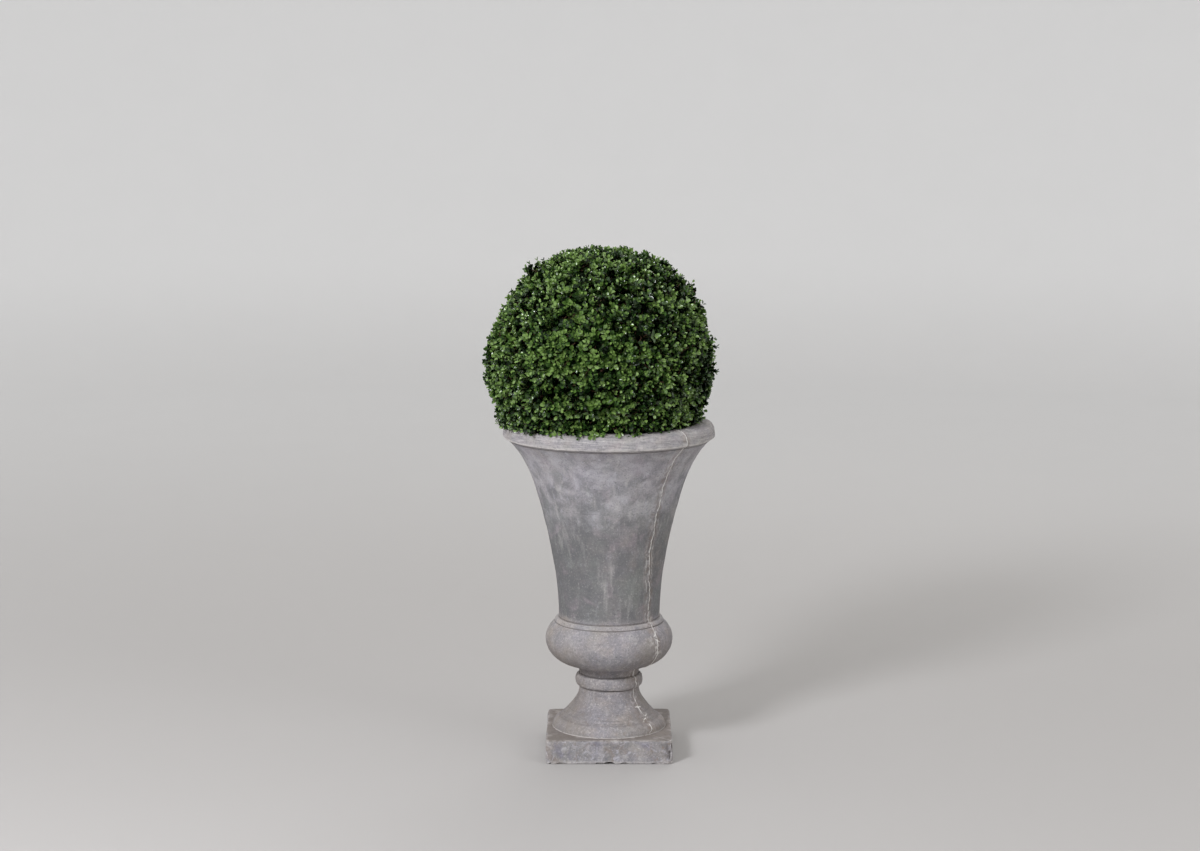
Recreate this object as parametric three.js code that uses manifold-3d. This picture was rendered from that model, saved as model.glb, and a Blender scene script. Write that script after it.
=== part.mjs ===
// Box topiary ball in a footed urn. Millimetres, +Z up, X to the right, Y away from the viewer.
// The origin is the centre of the urn's flat underside, on the urn's axis.

import * as THREE from 'three';
import { mergeVertices } from 'three/addons/utils/BufferGeometryUtils.js';
import Module from 'manifold-3d';

// Urn, from the ground up.
const URN_SEGMENTS = 36;
const PLINTH = { side: 300, height: 58, cornerRadius: 7, arris: 2 };
const DRAIN = { width: 26, height: 6, depth: 60 };
const DISC = { radius: 137, stepRadius: 121, stepZ: 82, bulge: 5 };
const SCOTIA = { bottomRadius: 118, bottomZ: 84, topRadius: 71.5, topZ: 150 };
const RING = { bottomZ: 157.5, topZ: 186.5, innerRadius: 73, bulge: 7.5 };
const NECK = { waist: 70.5, topRadius: 84, topZ: 210.5 };
const BULB = { coreRadius: 80, bulge: 72.5, middleZ: 274, drop: 63.5, rise: 58.5, grooveZ: 315.5 };
const FILLET = { radius: 130, bottomZ: 317.5, topRadius: 123, topZ: 325.5 };
const WALL = { footRadius: 120.5, footZ: 329, middleZ: 600, topZ: 757 };
const WALL_CURVE = { sweep: 95, sweepPower: 1.75, flare: 25, flarePower: 12 };
const WALL_THICKNESS = 28;
const LIP = { noseRadius: 252.5, noseZ: 768, shoulderRadius: 222, shoulderZ: 780, topZ: 800, innerRadius: 208 };
const BULB_FLOOR_Z = 238;
const INNER_STEPS = 3;

// Planting, from the soil up.
const GAP = 0.3;
const SOIL_Z = 752;
const SOIL_CROWN = 4;
const PLANT_X = -20;
const STEM = { footX: -8, footRadius: 24, tipRadius: 7, flare: 11, flareHeight: 26, sides: 10, steps: 8 };
const HOLLOW = { radius: 150, floorZ: 766, rise: 120 };
const BALL = { centreZ: 940, radius: 277, topScale: 1.014, segments: 40, rings: 22 };
const BOUGH_COUNT = 6;
const BOUGH = { firstZ: 782, spacingZ: 9, baseRadius: 10, tipRadius: 7, reach: 175, rise: 110, sides: 6, steps: 6 };
const BOUGH_TURN = THREE.MathUtils.degToRad(137.5);

// Swellings and dips of the clipped surface: compass angle from +X, angle above level, height, width.
const BALL_LUMPS = [
  { turn: 10, lift: 14, height: -9, width: 24 },
  { turn: 0, lift: 54, height: 9, width: 20 },
  { turn: 180, lift: 38, height: -10, width: 18 },
  { turn: 178, lift: -8, height: 4, width: 18 },
  { turn: 185, lift: -30, height: -6, width: 14 },
  { turn: 245, lift: 20, height: 5, width: 26 },
  { turn: 300, lift: -5, height: -5, width: 22 },
  { turn: 60, lift: 25, height: 6, width: 24 },
  { turn: 115, lift: -10, height: -6, width: 24 },
  { turn: 140, lift: 35, height: 5, width: 22 },
];

const wasm = await Module();
wasm.setup();

// Solids

function toSolid(geometry) {
  const bare = geometry.index ? geometry.toNonIndexed() : geometry.clone();
  bare.deleteAttribute('normal');
  bare.deleteAttribute('uv');
  const merged = mergeVertices(bare, 1e-3);
  const corners = merged.index.array;
  const kept = [];
  for (let i = 0; i < corners.length; i += 3) {
    const [a, b, c] = [corners[i], corners[i + 1], corners[i + 2]];
    if (a !== b && b !== c && c !== a) kept.push(a, b, c);
  }
  return new wasm.Manifold(new wasm.Mesh({
    numProp: 3,
    vertProperties: new Float32Array(merged.attributes.position.array),
    triVerts: new Uint32Array(kept),
  }));
}

function fromSolid(solid) {
  const mesh = solid.getMesh();
  const geometry = new THREE.BufferGeometry();
  geometry.setAttribute('position', new THREE.BufferAttribute(new Float32Array(mesh.vertProperties), 3));
  geometry.setIndex(new THREE.BufferAttribute(new Uint32Array(mesh.triVerts), 1));
  geometry.computeVertexNormals();
  return geometry;
}

// A closed outline of [radius, height] points, turned about the Z axis.
function turned(outline) {
  const points = outline.map(([radius, z]) => new THREE.Vector2(radius, z));
  const geometry = new THREE.LatheGeometry(points, URN_SEGMENTS);
  geometry.rotateX(Math.PI / 2);
  return geometry;
}

// Points along an ellipse's arc, from one angle to another, in degrees from straight out.
function arc(centre, across, up, from, to, steps) {
  const points = [];
  for (let i = 0; i <= steps; i += 1) {
    const angle = THREE.MathUtils.degToRad(from + (to - from) * (i / steps));
    points.push([centre[0] + across * Math.cos(angle), centre[1] + up * Math.sin(angle)]);
  }
  return points;
}

function bend(start, control, end, steps) {
  const curve = new THREE.QuadraticBezierCurve(
    new THREE.Vector2(...start),
    new THREE.Vector2(...control),
    new THREE.Vector2(...end),
  );
  return curve.getPoints(steps).map((p) => [p.x, p.y]);
}

// Urn pieces

function makePlinth() {
  const half = PLINTH.side / 2 - PLINTH.arris;
  const corner = PLINTH.cornerRadius;
  const square = new THREE.Shape();
  square.moveTo(-half + corner, -half);
  square.lineTo(half - corner, -half);
  square.absarc(half - corner, -half + corner, corner, -Math.PI / 2, 0, false);
  square.absarc(half - corner, half - corner, corner, 0, Math.PI / 2, false);
  square.absarc(-half + corner, half - corner, corner, Math.PI / 2, Math.PI, false);
  square.absarc(-half + corner, -half + corner, corner, Math.PI, Math.PI * 1.5, false);
  const block = new THREE.ExtrudeGeometry(square, {
    depth: PLINTH.height - 2 * PLINTH.arris,
    bevelThickness: PLINTH.arris,
    bevelSize: PLINTH.arris,
    bevelSegments: 1,
    curveSegments: 3,
  });
  block.translate(0, 0, PLINTH.arris);
  return fromSolid(toSolid(block).subtract(toSolid(makeDrainCutter())));
}

// The weep slot: a flat arch, cut in from the middle of the front face at ground level.
function makeDrainCutter() {
  const arch = new THREE.Shape();
  arch.moveTo(-DRAIN.width / 2, -DRAIN.height);
  arch.lineTo(DRAIN.width / 2, -DRAIN.height);
  arch.absellipse(0, 0, DRAIN.width / 2, DRAIN.height, 0, Math.PI, false);
  const cutter = new THREE.ExtrudeGeometry(arch, {
    depth: DRAIN.depth * 2,
    bevelEnabled: false,
    curveSegments: 8,
  });
  cutter.rotateX(Math.PI / 2);
  cutter.translate(0, -PLINTH.side / 2 + DRAIN.depth, 0);
  return cutter;
}

function makeFoot() {
  const discMiddle = [
    (DISC.radius + DISC.stepRadius) / 2 + DISC.bulge,
    (PLINTH.height + DISC.stepZ) / 2 + DISC.bulge,
  ];
  return turned([
    [0, PLINTH.height],
    ...bend([DISC.radius, PLINTH.height], discMiddle, [DISC.stepRadius, DISC.stepZ], 3),
    ...bend(
      [SCOTIA.bottomRadius, SCOTIA.bottomZ],
      [SCOTIA.topRadius + 1.5, SCOTIA.bottomZ + 42],
      [SCOTIA.topRadius, SCOTIA.topZ],
      6,
    ),
    [SCOTIA.topRadius, RING.bottomZ],
    [0, RING.bottomZ],
  ]);
}

function makeNeckRing() {
  const middle = (RING.bottomZ + RING.topZ) / 2;
  return turned([
    [0, RING.bottomZ],
    ...arc([RING.innerRadius, middle], RING.bulge, (RING.topZ - RING.bottomZ) / 2, -90, 90, 6),
    [0, RING.topZ],
  ]);
}

function makeNeck() {
  return turned([
    [0, RING.topZ],
    ...bend([NECK.waist, RING.topZ], [NECK.waist, NECK.topZ - 9], [NECK.topRadius, NECK.topZ], 4),
    [0, NECK.topZ],
  ]);
}

function bulbRadius(z) {
  const reach = z < BULB.middleZ ? BULB.drop : BULB.rise;
  const along = Math.min(1, Math.abs(z - BULB.middleZ) / reach);
  return BULB.coreRadius + BULB.bulge * Math.sqrt(1 - along * along);
}

function makeBulb() {
  const grooveAngle = THREE.MathUtils.radToDeg(Math.asin((BULB.grooveZ - BULB.middleZ) / BULB.rise));
  const filletCentre = [FILLET.topRadius, FILLET.bottomZ];
  return turned([
    [0, NECK.topZ],
    ...arc([BULB.coreRadius, BULB.middleZ], BULB.bulge, BULB.drop, -87, 0, 6),
    ...arc([BULB.coreRadius, BULB.middleZ], BULB.bulge, BULB.rise, 12, grooveAngle, 3),
    ...arc(filletCentre, FILLET.radius - FILLET.topRadius, FILLET.topZ - FILLET.bottomZ, 0, 90, 2),
    [WALL.footRadius, WALL.footZ],
    [WALL.footRadius - WALL_THICKNESS, WALL.footZ],
    ...bulbHollow(),
  ]);
}

// The inside of the bulb, from its mouth down to the middle of its floor.
function bulbHollow() {
  const inner = bulbRadius(BULB.middleZ) - WALL_THICKNESS;
  const mouth = WALL.footRadius - WALL_THICKNESS;
  return [
    ...bend([mouth + 2, WALL.footZ - 14], [inner, BULB.grooveZ - 12], [inner, BULB.middleZ], 3),
    ...bend([inner, BULB.middleZ - 4], [inner - 6, BULB_FLOOR_Z], [inner / 2, BULB_FLOOR_Z], 3),
    [0, BULB_FLOOR_Z],
  ];
}

// The trumpet wall's radius: a slow sweep outwards with a sharper flare just under the lip.
function wallRadius(z) {
  const up = (z - WALL.footZ) / (WALL.topZ - WALL.footZ);
  const sweep = WALL_CURVE.sweep * up ** WALL_CURVE.sweepPower;
  return WALL.footRadius + sweep + WALL_CURVE.flare * up ** WALL_CURVE.flarePower;
}

function wallOutline(fromZ, toZ, steps, inset) {
  return Array.from({ length: steps + 1 }, (_, i) => {
    const z = fromZ + (toZ - fromZ) * (i / steps);
    return [wallRadius(z) - inset, z];
  });
}

// The wall is one casting, held as two bands so that a simple hull fits closely round each.
function makeWallBand(fromZ, toZ, steps) {
  const outer = wallOutline(fromZ, toZ, steps, 0);
  const inner = wallOutline(fromZ, toZ, INNER_STEPS, WALL_THICKNESS).reverse();
  return turned([...outer, ...inner, outer[0]]);
}

function lipShoulder(steps) {
  const across = LIP.noseRadius - 1.5 - LIP.shoulderRadius;
  const up = LIP.topZ - LIP.shoulderZ;
  return arc([LIP.shoulderRadius, LIP.shoulderZ], across, up, 0, 90, steps);
}

function makeRim() {
  const outerFoot = wallRadius(WALL.topZ);
  const outline = [
    [outerFoot - WALL_THICKNESS, WALL.topZ],
    [outerFoot, WALL.topZ],
    [LIP.noseRadius - 1, LIP.noseZ - 4],
    [LIP.noseRadius, LIP.noseZ],
    ...lipShoulder(5),
    [LIP.innerRadius + 5, LIP.topZ],
    [LIP.innerRadius, LIP.topZ - 6],
  ];
  return turned([...outline, outline[0]]);
}

// Planting

function makeSoil() {
  const slack = 4 * GAP;
  const topRadius = wallRadius(SOIL_Z) - WALL_THICKNESS - slack;
  const shrink = 1 - slack / (BULB.middleZ - BULB_FLOOR_Z);
  const bottom = bulbHollow().reverse().map(([radius, z]) => [
    radius * shrink,
    BULB.middleZ + (z - BULB.middleZ) * shrink,
  ]);
  const inset = WALL_THICKNESS + slack;
  return turned([
    ...bottom,
    ...wallOutline(WALL.footZ, WALL.middleZ, INNER_STEPS, inset),
    ...wallOutline(WALL.middleZ, WALL.topZ, INNER_STEPS, inset).slice(1, -1),
    [topRadius - 2, SOIL_Z],
    [topRadius * 0.5, SOIL_Z + SOIL_CROWN],
    [0, SOIL_Z + SOIL_CROWN],
  ]);
}

// A limb along a curve, round in section, tapering and swelling as its radius rule says.
function limb(curve, radiusAt, sides, steps) {
  const frames = curve.computeFrenetFrames(steps, false);
  const positions = [];
  const faces = [];
  for (let i = 0; i <= steps; i += 1) {
    const centre = curve.getPointAt(i / steps);
    for (let j = 0; j < sides; j += 1) {
      const angle = (j / sides) * Math.PI * 2;
      const spoke = frames.normals[i].clone().multiplyScalar(Math.cos(angle));
      spoke.addScaledVector(frames.binormals[i], Math.sin(angle));
      positions.push(...centre.clone().addScaledVector(spoke, radiusAt(i / steps)).toArray());
    }
  }
  for (let i = 0; i < steps; i += 1) {
    for (let j = 0; j < sides; j += 1) {
      const [a, b] = [i * sides + j, i * sides + ((j + 1) % sides)];
      faces.push(a, b, b + sides, a, b + sides, a + sides);
    }
  }
  for (let j = 1; j < sides - 1; j += 1) {
    const last = steps * sides;
    faces.push(0, j + 1, j, last, last + j, last + j + 1);
  }
  const geometry = new THREE.BufferGeometry();
  geometry.setAttribute('position', new THREE.Float32BufferAttribute(positions, 3));
  geometry.setIndex(faces);
  return geometry;
}

const soilTopZ = SOIL_Z + SOIL_CROWN;
const hollowTopZ = HOLLOW.floorZ + HOLLOW.rise;

function stemCurve() {
  const footZ = soilTopZ + GAP;
  return new THREE.QuadraticBezierCurve3(
    new THREE.Vector3(STEM.footX, 0, footZ),
    new THREE.Vector3(STEM.footX, 0, footZ + 45),
    new THREE.Vector3(PLANT_X, 4, hollowTopZ - STEM.tipRadius),
  );
}

function stemRadius(along, spare) {
  const height = along * (hollowTopZ - soilTopZ);
  const flare = STEM.flare * Math.max(0, 1 - height / STEM.flareHeight) ** 2;
  return STEM.footRadius + (STEM.tipRadius - STEM.footRadius) * along + flare + spare;
}

function makeStem() {
  return limb(stemCurve(), (along) => stemRadius(along, 0), STEM.sides, STEM.steps);
}

// Bough number i leaves the stem a golden-angle turn after the last, and a little higher.
function boughCurve(i) {
  const turn = 0.4 + i * BOUGH_TURN;
  const startZ = BOUGH.firstZ + i * BOUGH.spacingZ;
  const along = (startZ - soilTopZ) / (hollowTopZ - soilTopZ);
  const start = stemCurve().getPointAt(along);
  const out = new THREE.Vector3(Math.cos(turn), Math.sin(turn), 0);
  const elbow = start.clone().addScaledVector(out, BOUGH.reach * 0.45);
  elbow.z += BOUGH.rise * 0.25;
  const end = start.clone().addScaledVector(out, BOUGH.reach);
  end.z += BOUGH.rise;
  return new THREE.QuadraticBezierCurve3(start, elbow, end);
}

function makeBough(i) {
  const taper = (along) => BOUGH.baseRadius + (BOUGH.tipRadius - BOUGH.baseRadius) * along;
  const whole = toSolid(limb(boughCurve(i), taper, BOUGH.sides, BOUGH.steps));
  const stemSpace = toSolid(limb(stemCurve(), (along) => stemRadius(along, GAP), STEM.sides, STEM.steps));
  const hollow = toSolid(makeHollow(-2 * GAP));
  return fromSolid(whole.subtract(stemSpace).intersect(hollow));
}

// The bare space in the middle of the ball: half an ellipsoid, open at the bottom.
function makeHollow(spare) {
  const dome = new THREE.SphereGeometry(1, 16, 8);
  dome.rotateX(Math.PI / 2);
  dome.scale(HOLLOW.radius + spare, HOLLOW.radius + spare, HOLLOW.rise + spare);
  dome.translate(PLANT_X, 0, HOLLOW.floorZ);
  return dome;
}

function lumpHeight(direction) {
  let height = 0;
  for (const lump of BALL_LUMPS) {
    const turn = THREE.MathUtils.degToRad(lump.turn);
    const lift = THREE.MathUtils.degToRad(lump.lift);
    const peak = new THREE.Vector3(
      Math.cos(lift) * Math.cos(turn),
      Math.cos(lift) * Math.sin(turn),
      Math.sin(lift),
    );
    const away = THREE.MathUtils.radToDeg(direction.angleTo(peak)) / lump.width;
    height += lump.height * Math.exp(-away * away);
  }
  return height;
}

function makeClippedBall() {
  const ball = new THREE.SphereGeometry(1, BALL.segments, BALL.rings);
  ball.rotateX(Math.PI / 2);
  const position = ball.attributes.position;
  const direction = new THREE.Vector3();
  for (let i = 0; i < position.count; i += 1) {
    direction.fromBufferAttribute(position, i).normalize();
    const radius = BALL.radius + lumpHeight(direction);
    const upward = direction.z > 0 ? BALL.topScale : 1;
    position.setXYZ(i, direction.x * radius, direction.y * radius, direction.z * radius * upward);
  }
  ball.translate(PLANT_X, 0, BALL.centreZ);
  return ball;
}

// Everything the foliage must keep off: the rim with a little to spare, and all below the mass.
function makeUrnSpace() {
  const spare = 2 * GAP;
  const below = BALL.centreZ - BALL.radius - 40;
  return turned([
    [0, below],
    [LIP.noseRadius + 10, below],
    [LIP.noseRadius + 10, WALL.topZ],
    [LIP.noseRadius + spare, LIP.noseZ],
    ...lipShoulder(5).map(([radius, z]) => [radius + spare, z + spare]),
    [LIP.innerRadius - 3, LIP.topZ + spare],
    [LIP.innerRadius - 5, HOLLOW.floorZ],
    [0, HOLLOW.floorZ],
  ]);
}

function makeFoliageBall() {
  const clipped = toSolid(makeClippedBall()).subtract(toSolid(makeUrnSpace()));
  return fromSolid(clipped.subtract(toSolid(makeHollow(0))));
}

// Finishes

const castStone = new THREE.MeshStandardMaterial({ color: 0x9d9a98, roughness: 0.85, metalness: 0 });
const pottingSoil = new THREE.MeshStandardMaterial({ color: 0x2f241c, roughness: 0.95, metalness: 0 });
const boxBark = new THREE.MeshStandardMaterial({ color: 0x6b5844, roughness: 0.8, metalness: 0 });
const boxFoliage = new THREE.MeshStandardMaterial({ color: 0x3f5a24, roughness: 0.5, metalness: 0 });

const group = new THREE.Group();

function place(name, geometry, material) {
  const mesh = new THREE.Mesh(geometry, material);
  mesh.name = name;
  group.add(mesh);
}

place('plinth', makePlinth(), castStone);
place('foot', makeFoot(), castStone);
place('neck_ring', makeNeckRing(), castStone);
place('neck', makeNeck(), castStone);
place('bulb', makeBulb(), castStone);
place('wall_lower', makeWallBand(WALL.footZ, WALL.middleZ, 4), castStone);
place('wall_upper', makeWallBand(WALL.middleZ, WALL.topZ, 6), castStone);
place('rim', makeRim(), castStone);
place('soil', makeSoil(), pottingSoil);
place('stem', makeStem(), boxBark);
for (let i = 0; i < BOUGH_COUNT; i += 1) {
  place(`bough_${i + 1}`, makeBough(i), boxBark);
}
place('foliage_ball', makeFoliageBall(), boxFoliage);

export default group;
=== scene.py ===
import math

import bmesh
import bpy
import numpy as np
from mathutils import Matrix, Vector
from mathutils.bvhtree import BVHTree


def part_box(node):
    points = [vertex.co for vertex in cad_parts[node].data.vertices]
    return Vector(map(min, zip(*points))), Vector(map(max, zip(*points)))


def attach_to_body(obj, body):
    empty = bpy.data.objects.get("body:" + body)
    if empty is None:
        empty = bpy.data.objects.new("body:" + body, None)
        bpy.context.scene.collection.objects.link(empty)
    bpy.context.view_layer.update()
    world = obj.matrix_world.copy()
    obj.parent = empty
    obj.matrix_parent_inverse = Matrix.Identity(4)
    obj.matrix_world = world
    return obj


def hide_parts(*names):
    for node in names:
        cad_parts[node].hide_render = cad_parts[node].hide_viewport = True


# Potted box topiary ball: looks. Metres, +Z up, X to the right, Y away from the front.
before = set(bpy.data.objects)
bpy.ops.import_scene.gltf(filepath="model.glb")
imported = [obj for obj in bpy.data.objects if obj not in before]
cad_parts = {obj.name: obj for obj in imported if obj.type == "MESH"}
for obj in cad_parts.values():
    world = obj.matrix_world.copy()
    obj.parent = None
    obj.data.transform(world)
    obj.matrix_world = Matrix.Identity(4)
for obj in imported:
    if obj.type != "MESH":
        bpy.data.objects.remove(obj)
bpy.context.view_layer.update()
print("frame loaded:", len(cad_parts), "nodes")


cameraSetup = {"place": (-0.0218, -5.961, 1.6563), "tiltDown": 8.29, "lens": 76.0, "filmWidth": 36.0}

cameraData = bpy.data.cameras.new("camera")
cameraData.lens = cameraSetup["lens"]
cameraData.sensor_width = cameraSetup["filmWidth"]
camera = bpy.data.objects.new("camera", cameraData)
camera.location = cameraSetup["place"]
camera.rotation_euler = (math.radians(90 - cameraSetup["tiltDown"]), 0, 0)
bpy.context.scene.collection.objects.link(camera)
bpy.context.scene.camera = camera
bpy.context.scene.view_settings.view_transform = "Standard"


# Links a smooth mesh made from plain arrays; values is {attribute name: one number for each vertex}
def makePiece(name, vertices, faces, material, values=None):
    mesh = bpy.data.meshes.new(name)
    vertices = np.ascontiguousarray(vertices, dtype=np.float32).reshape(-1, 3)
    faces = np.ascontiguousarray(faces, dtype=np.int32)
    corners = faces.shape[1]
    mesh.vertices.add(len(vertices))
    mesh.vertices.foreach_set("co", vertices.ravel())
    mesh.loops.add(faces.size)
    mesh.loops.foreach_set("vertex_index", faces.ravel())
    mesh.polygons.add(len(faces))
    mesh.polygons.foreach_set("loop_start", np.arange(0, faces.size, corners, dtype=np.int32))
    mesh.polygons.foreach_set("loop_total", np.full(len(faces), corners, dtype=np.int32))
    mesh.polygons.foreach_set("use_smooth", np.ones(len(faces), dtype=bool))
    mesh.update(calc_edges=True)
    for key, numbers in (values or {}).items():
        layer = mesh.attributes.new(key, "FLOAT", "POINT")
        layer.data.foreach_set("value", np.ascontiguousarray(numbers, dtype=np.float32).ravel())
    mesh.materials.append(material)
    piece = bpy.data.objects.new(name, mesh)
    bpy.context.scene.collection.objects.link(piece)
    return piece


# Faces of a rows x columns grid of points, joined round its columns
def gridFaces(rows, columns):
    row = np.arange(rows - 1)[:, None]
    column = np.arange(columns)[None, :]
    after = (column + 1) % columns
    a = row * columns + column
    b = row * columns + after
    return np.stack([a, b, b + columns, a + columns], axis=-1).reshape(-1, 4)


# Merges the points at poles and shared rims and turns every face outwards
def closeSolid(piece):
    work = bmesh.new()
    work.from_mesh(piece.data)
    bmesh.ops.remove_doubles(work, verts=work.verts, dist=1e-6)
    bmesh.ops.dissolve_degenerate(work, edges=work.edges, dist=1e-7)
    bmesh.ops.recalc_face_normals(work, faces=work.faces)
    work.to_mesh(piece.data)
    work.free()
    piece.data.update()


def smoothStep(low, high, x):
    t = np.clip((x - low) / (high - low), 0, 1)
    return t * t * (3 - 2 * t)


# 1 where x is 0, falling off as exp(-(x / width)^2)
def bell(x, width):
    return np.exp(-((x / width) ** 2))


latticePrimes = np.array([73856093, 19349663, 83492791])
seedPrime = 2654435761
mixPrimes = (1274126177, 69069)
lastBits = 0x7FFFFFFF
grades = 65521  # how many different values a corner may have


# Smooth random field from -1 to 1: values dealt to the corners of a cubic lattice, blended by 3t^2 - 2t^3
def valueNoise(points, size, seed):
    p = np.asarray(points, dtype=float) / size
    cell = np.floor(p).astype(np.int64)
    t = p - cell
    t = t * t * (3 - 2 * t)
    total = np.zeros(p.shape[:-1])
    for corner in range(8):
        step = np.array([corner & 1, corner >> 1 & 1, corner >> 2 & 1])
        key = np.bitwise_xor.reduce((cell + step) * latticePrimes, axis=-1) ^ seed * seedPrime
        key = (key ^ key >> 13) * mixPrimes[0] & lastBits
        key = (key ^ key >> 15) * mixPrimes[1] & lastBits
        weight = np.prod(np.where(step, t, 1 - t), axis=-1)
        total += weight * (key % grades) / (grades - 1)
    return total * 2 - 1


# Value noise with finer layers added, each half the size and half the strength of the one before
def layeredNoise(points, size, seed, layers):
    total = 0
    for i in range(layers):
        total = total + valueNoise(points, size / 2**i, seed + i * 17) / 2**i
    return total


# A shader socket that takes part in plain arithmetic: each operator adds one Math node
class Signal:
    def __init__(self, look, socket):
        self.look = look
        self.socket = socket

    def math(self, operation, *others, first=None):
        values = [self if first is None else first, *others]
        return self.look.node("ShaderNodeMath", {"operation": operation}, dict(enumerate(values)))

    def __add__(self, other):
        return self.math("ADD", other)

    def __sub__(self, other):
        return self.math("SUBTRACT", other)

    def __rsub__(self, other):
        return self.math("SUBTRACT", self, first=other)

    def __mul__(self, other):
        return self.math("MULTIPLY", other)

    def __truediv__(self, other):
        return self.math("DIVIDE", other)

    def __rtruediv__(self, other):
        return self.math("DIVIDE", self, first=other)

    def __pow__(self, other):
        return self.math("POWER", other)

    def __rpow__(self, other):
        return self.math("POWER", self, first=other)

    __radd__ = __add__
    __rmul__ = __mul__

    def sine(self):
        return self.math("SINE")

    def size(self):
        return self.math("ABSOLUTE")

    def clamped(self):
        return self.math("MAXIMUM", 0.0).math("MINIMUM", 1.0)

    # 0 below low, 1 above high, smooth between
    def rise(self, low, high):
        settings = {"interpolation_type": "SMOOTHSTEP"}
        inputs = {"Value": self, "From Min": low, "From Max": high}
        return self.look.node("ShaderNodeMapRange", settings, inputs)

    # 1 where the signal is at place, falling to 0 at width on either side
    def line(self, place, width):
        return 1 - (self - place).size().rise(0.0, width)


# One procedural material: its nodes are added through node, and finish sets the shader's own sockets
class Look:
    def __init__(self, name):
        self.material = bpy.data.materials.new(name)
        self.material.use_nodes = True
        self.nodes = self.material.node_tree.nodes
        self.links = self.material.node_tree.links
        self.shader = self.nodes["Principled BSDF"]
        self.objectPlace = self.node("ShaderNodeTexCoord", {}, {}, "Object")

    # Any node: settings first, then each socket's value or link; output names the socket it gives
    def node(self, kind, settings, inputs, output=0):
        node = self.nodes.new(kind)
        for key, value in settings.items():
            setattr(node, key, value)
        for key, value in inputs.items():
            socket = node.inputs[key]
            if isinstance(value, Signal):
                self.links.new(value.socket, socket)
            elif isinstance(value, tuple) and len(value) == 3 and socket.type == "RGBA":
                socket.default_value = (*value, 1.0)
            else:
                socket.default_value = value
        return Signal(self, node.outputs[output])

    def noise(self, size, detail, stretch=(1, 1, 1), shift=(0, 0, 0), rough=0.55, twist=0.0):
        mapping = {"Vector": self.objectPlace, "Scale": stretch, "Location": shift}
        place = self.node("ShaderNodeMapping", {}, mapping)
        inputs = {
            "Vector": place, "Scale": 1 / size, "Detail": detail, "Roughness": rough, "Distortion": twist,
        }
        return self.node("ShaderNodeTexNoise", {}, inputs, "Fac")

    # Sockets 6, 7 and 2 of a Mix node are its two colours and the colour it gives
    def mixed(self, amount, under, over):
        return self.node("ShaderNodeMix", {"data_type": "RGBA"}, {"Factor": amount, 6: under, 7: over}, 2)

    # Lays shades over a colour, one (shade, amount) after another
    def layered(self, color, *layers):
        for shade, amount in layers:
            color = self.mixed(amount, color, shade)
        return color

    def attribute(self, name):
        return self.node("ShaderNodeAttribute", {"attribute_name": name}, {}, "Fac")

    def axes(self):
        place = {"Vector": self.objectPlace}
        return [self.node("ShaderNodeSeparateXYZ", {}, place, axis) for axis in "XYZ"]

    def bump(self, height, distance, strength, under=None):
        inputs = {"Height": height, "Distance": distance, "Strength": strength}
        if under is not None:
            inputs["Normal"] = under
        return self.node("ShaderNodeBump", {}, inputs)

    def finish(self, **sockets):
        for key, value in sockets.items():
            socket = self.shader.inputs[shaderSockets[key]]
            if isinstance(value, Signal):
                self.links.new(value.socket, socket)
            else:
                socket.default_value = (*value, 1.0) if isinstance(value, tuple) else value
        return self.material


shaderSockets = {
    "color": "Base Color",
    "rough": "Roughness",
    "normal": "Normal",
    "coat": "Coat Weight",
    "coatRough": "Coat Roughness",
    "specular": "Specular IOR Level",
}


studio = {
    "floorRadius": 7.0, "coveRadius": 2.5, "wallHeight": 7.0, "flatRings": (0.001, 1, 3), "columns": 96,
    "floorColor": (0.462, 0.448, 0.438), "wallColor": (0.88, 0.88, 0.88),
    # painted light: the paper is painted paler up the wall and away from the middle
    "wallFrom": -0.02, "wallAll": 0.55,  # heights between which the paper turns paler
    "spreadFrom": 0.9, "spreadTo": 7.5, "spread": 0.80,  # and the distances, with their share of it
    "mottle": (0.3, 0.3, 0.3), "mottleSize": 0.3, "mottleCover": 0.03,
    "skyColor": (1.0, 0.99, 0.975), "skyStrength": 0.70,
}
softLights = {
    "key": {"place": (-2.7, -3.9, 3.2), "aim": 0.7, "size": 1.1, "power": 205, "color": (0.95, 0.96, 1.0)},
    "fill": {"place": (3.4, -2.8, 2.6), "aim": 0.7, "size": 2.2, "power": 32, "color": (0.97, 0.98, 1.0)},
    "back": {"place": (0.8, 3.2, 3.8), "aim": 0.8, "size": 2.0, "power": 35, "color": (1.0, 1.0, 1.0)},
}


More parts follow.
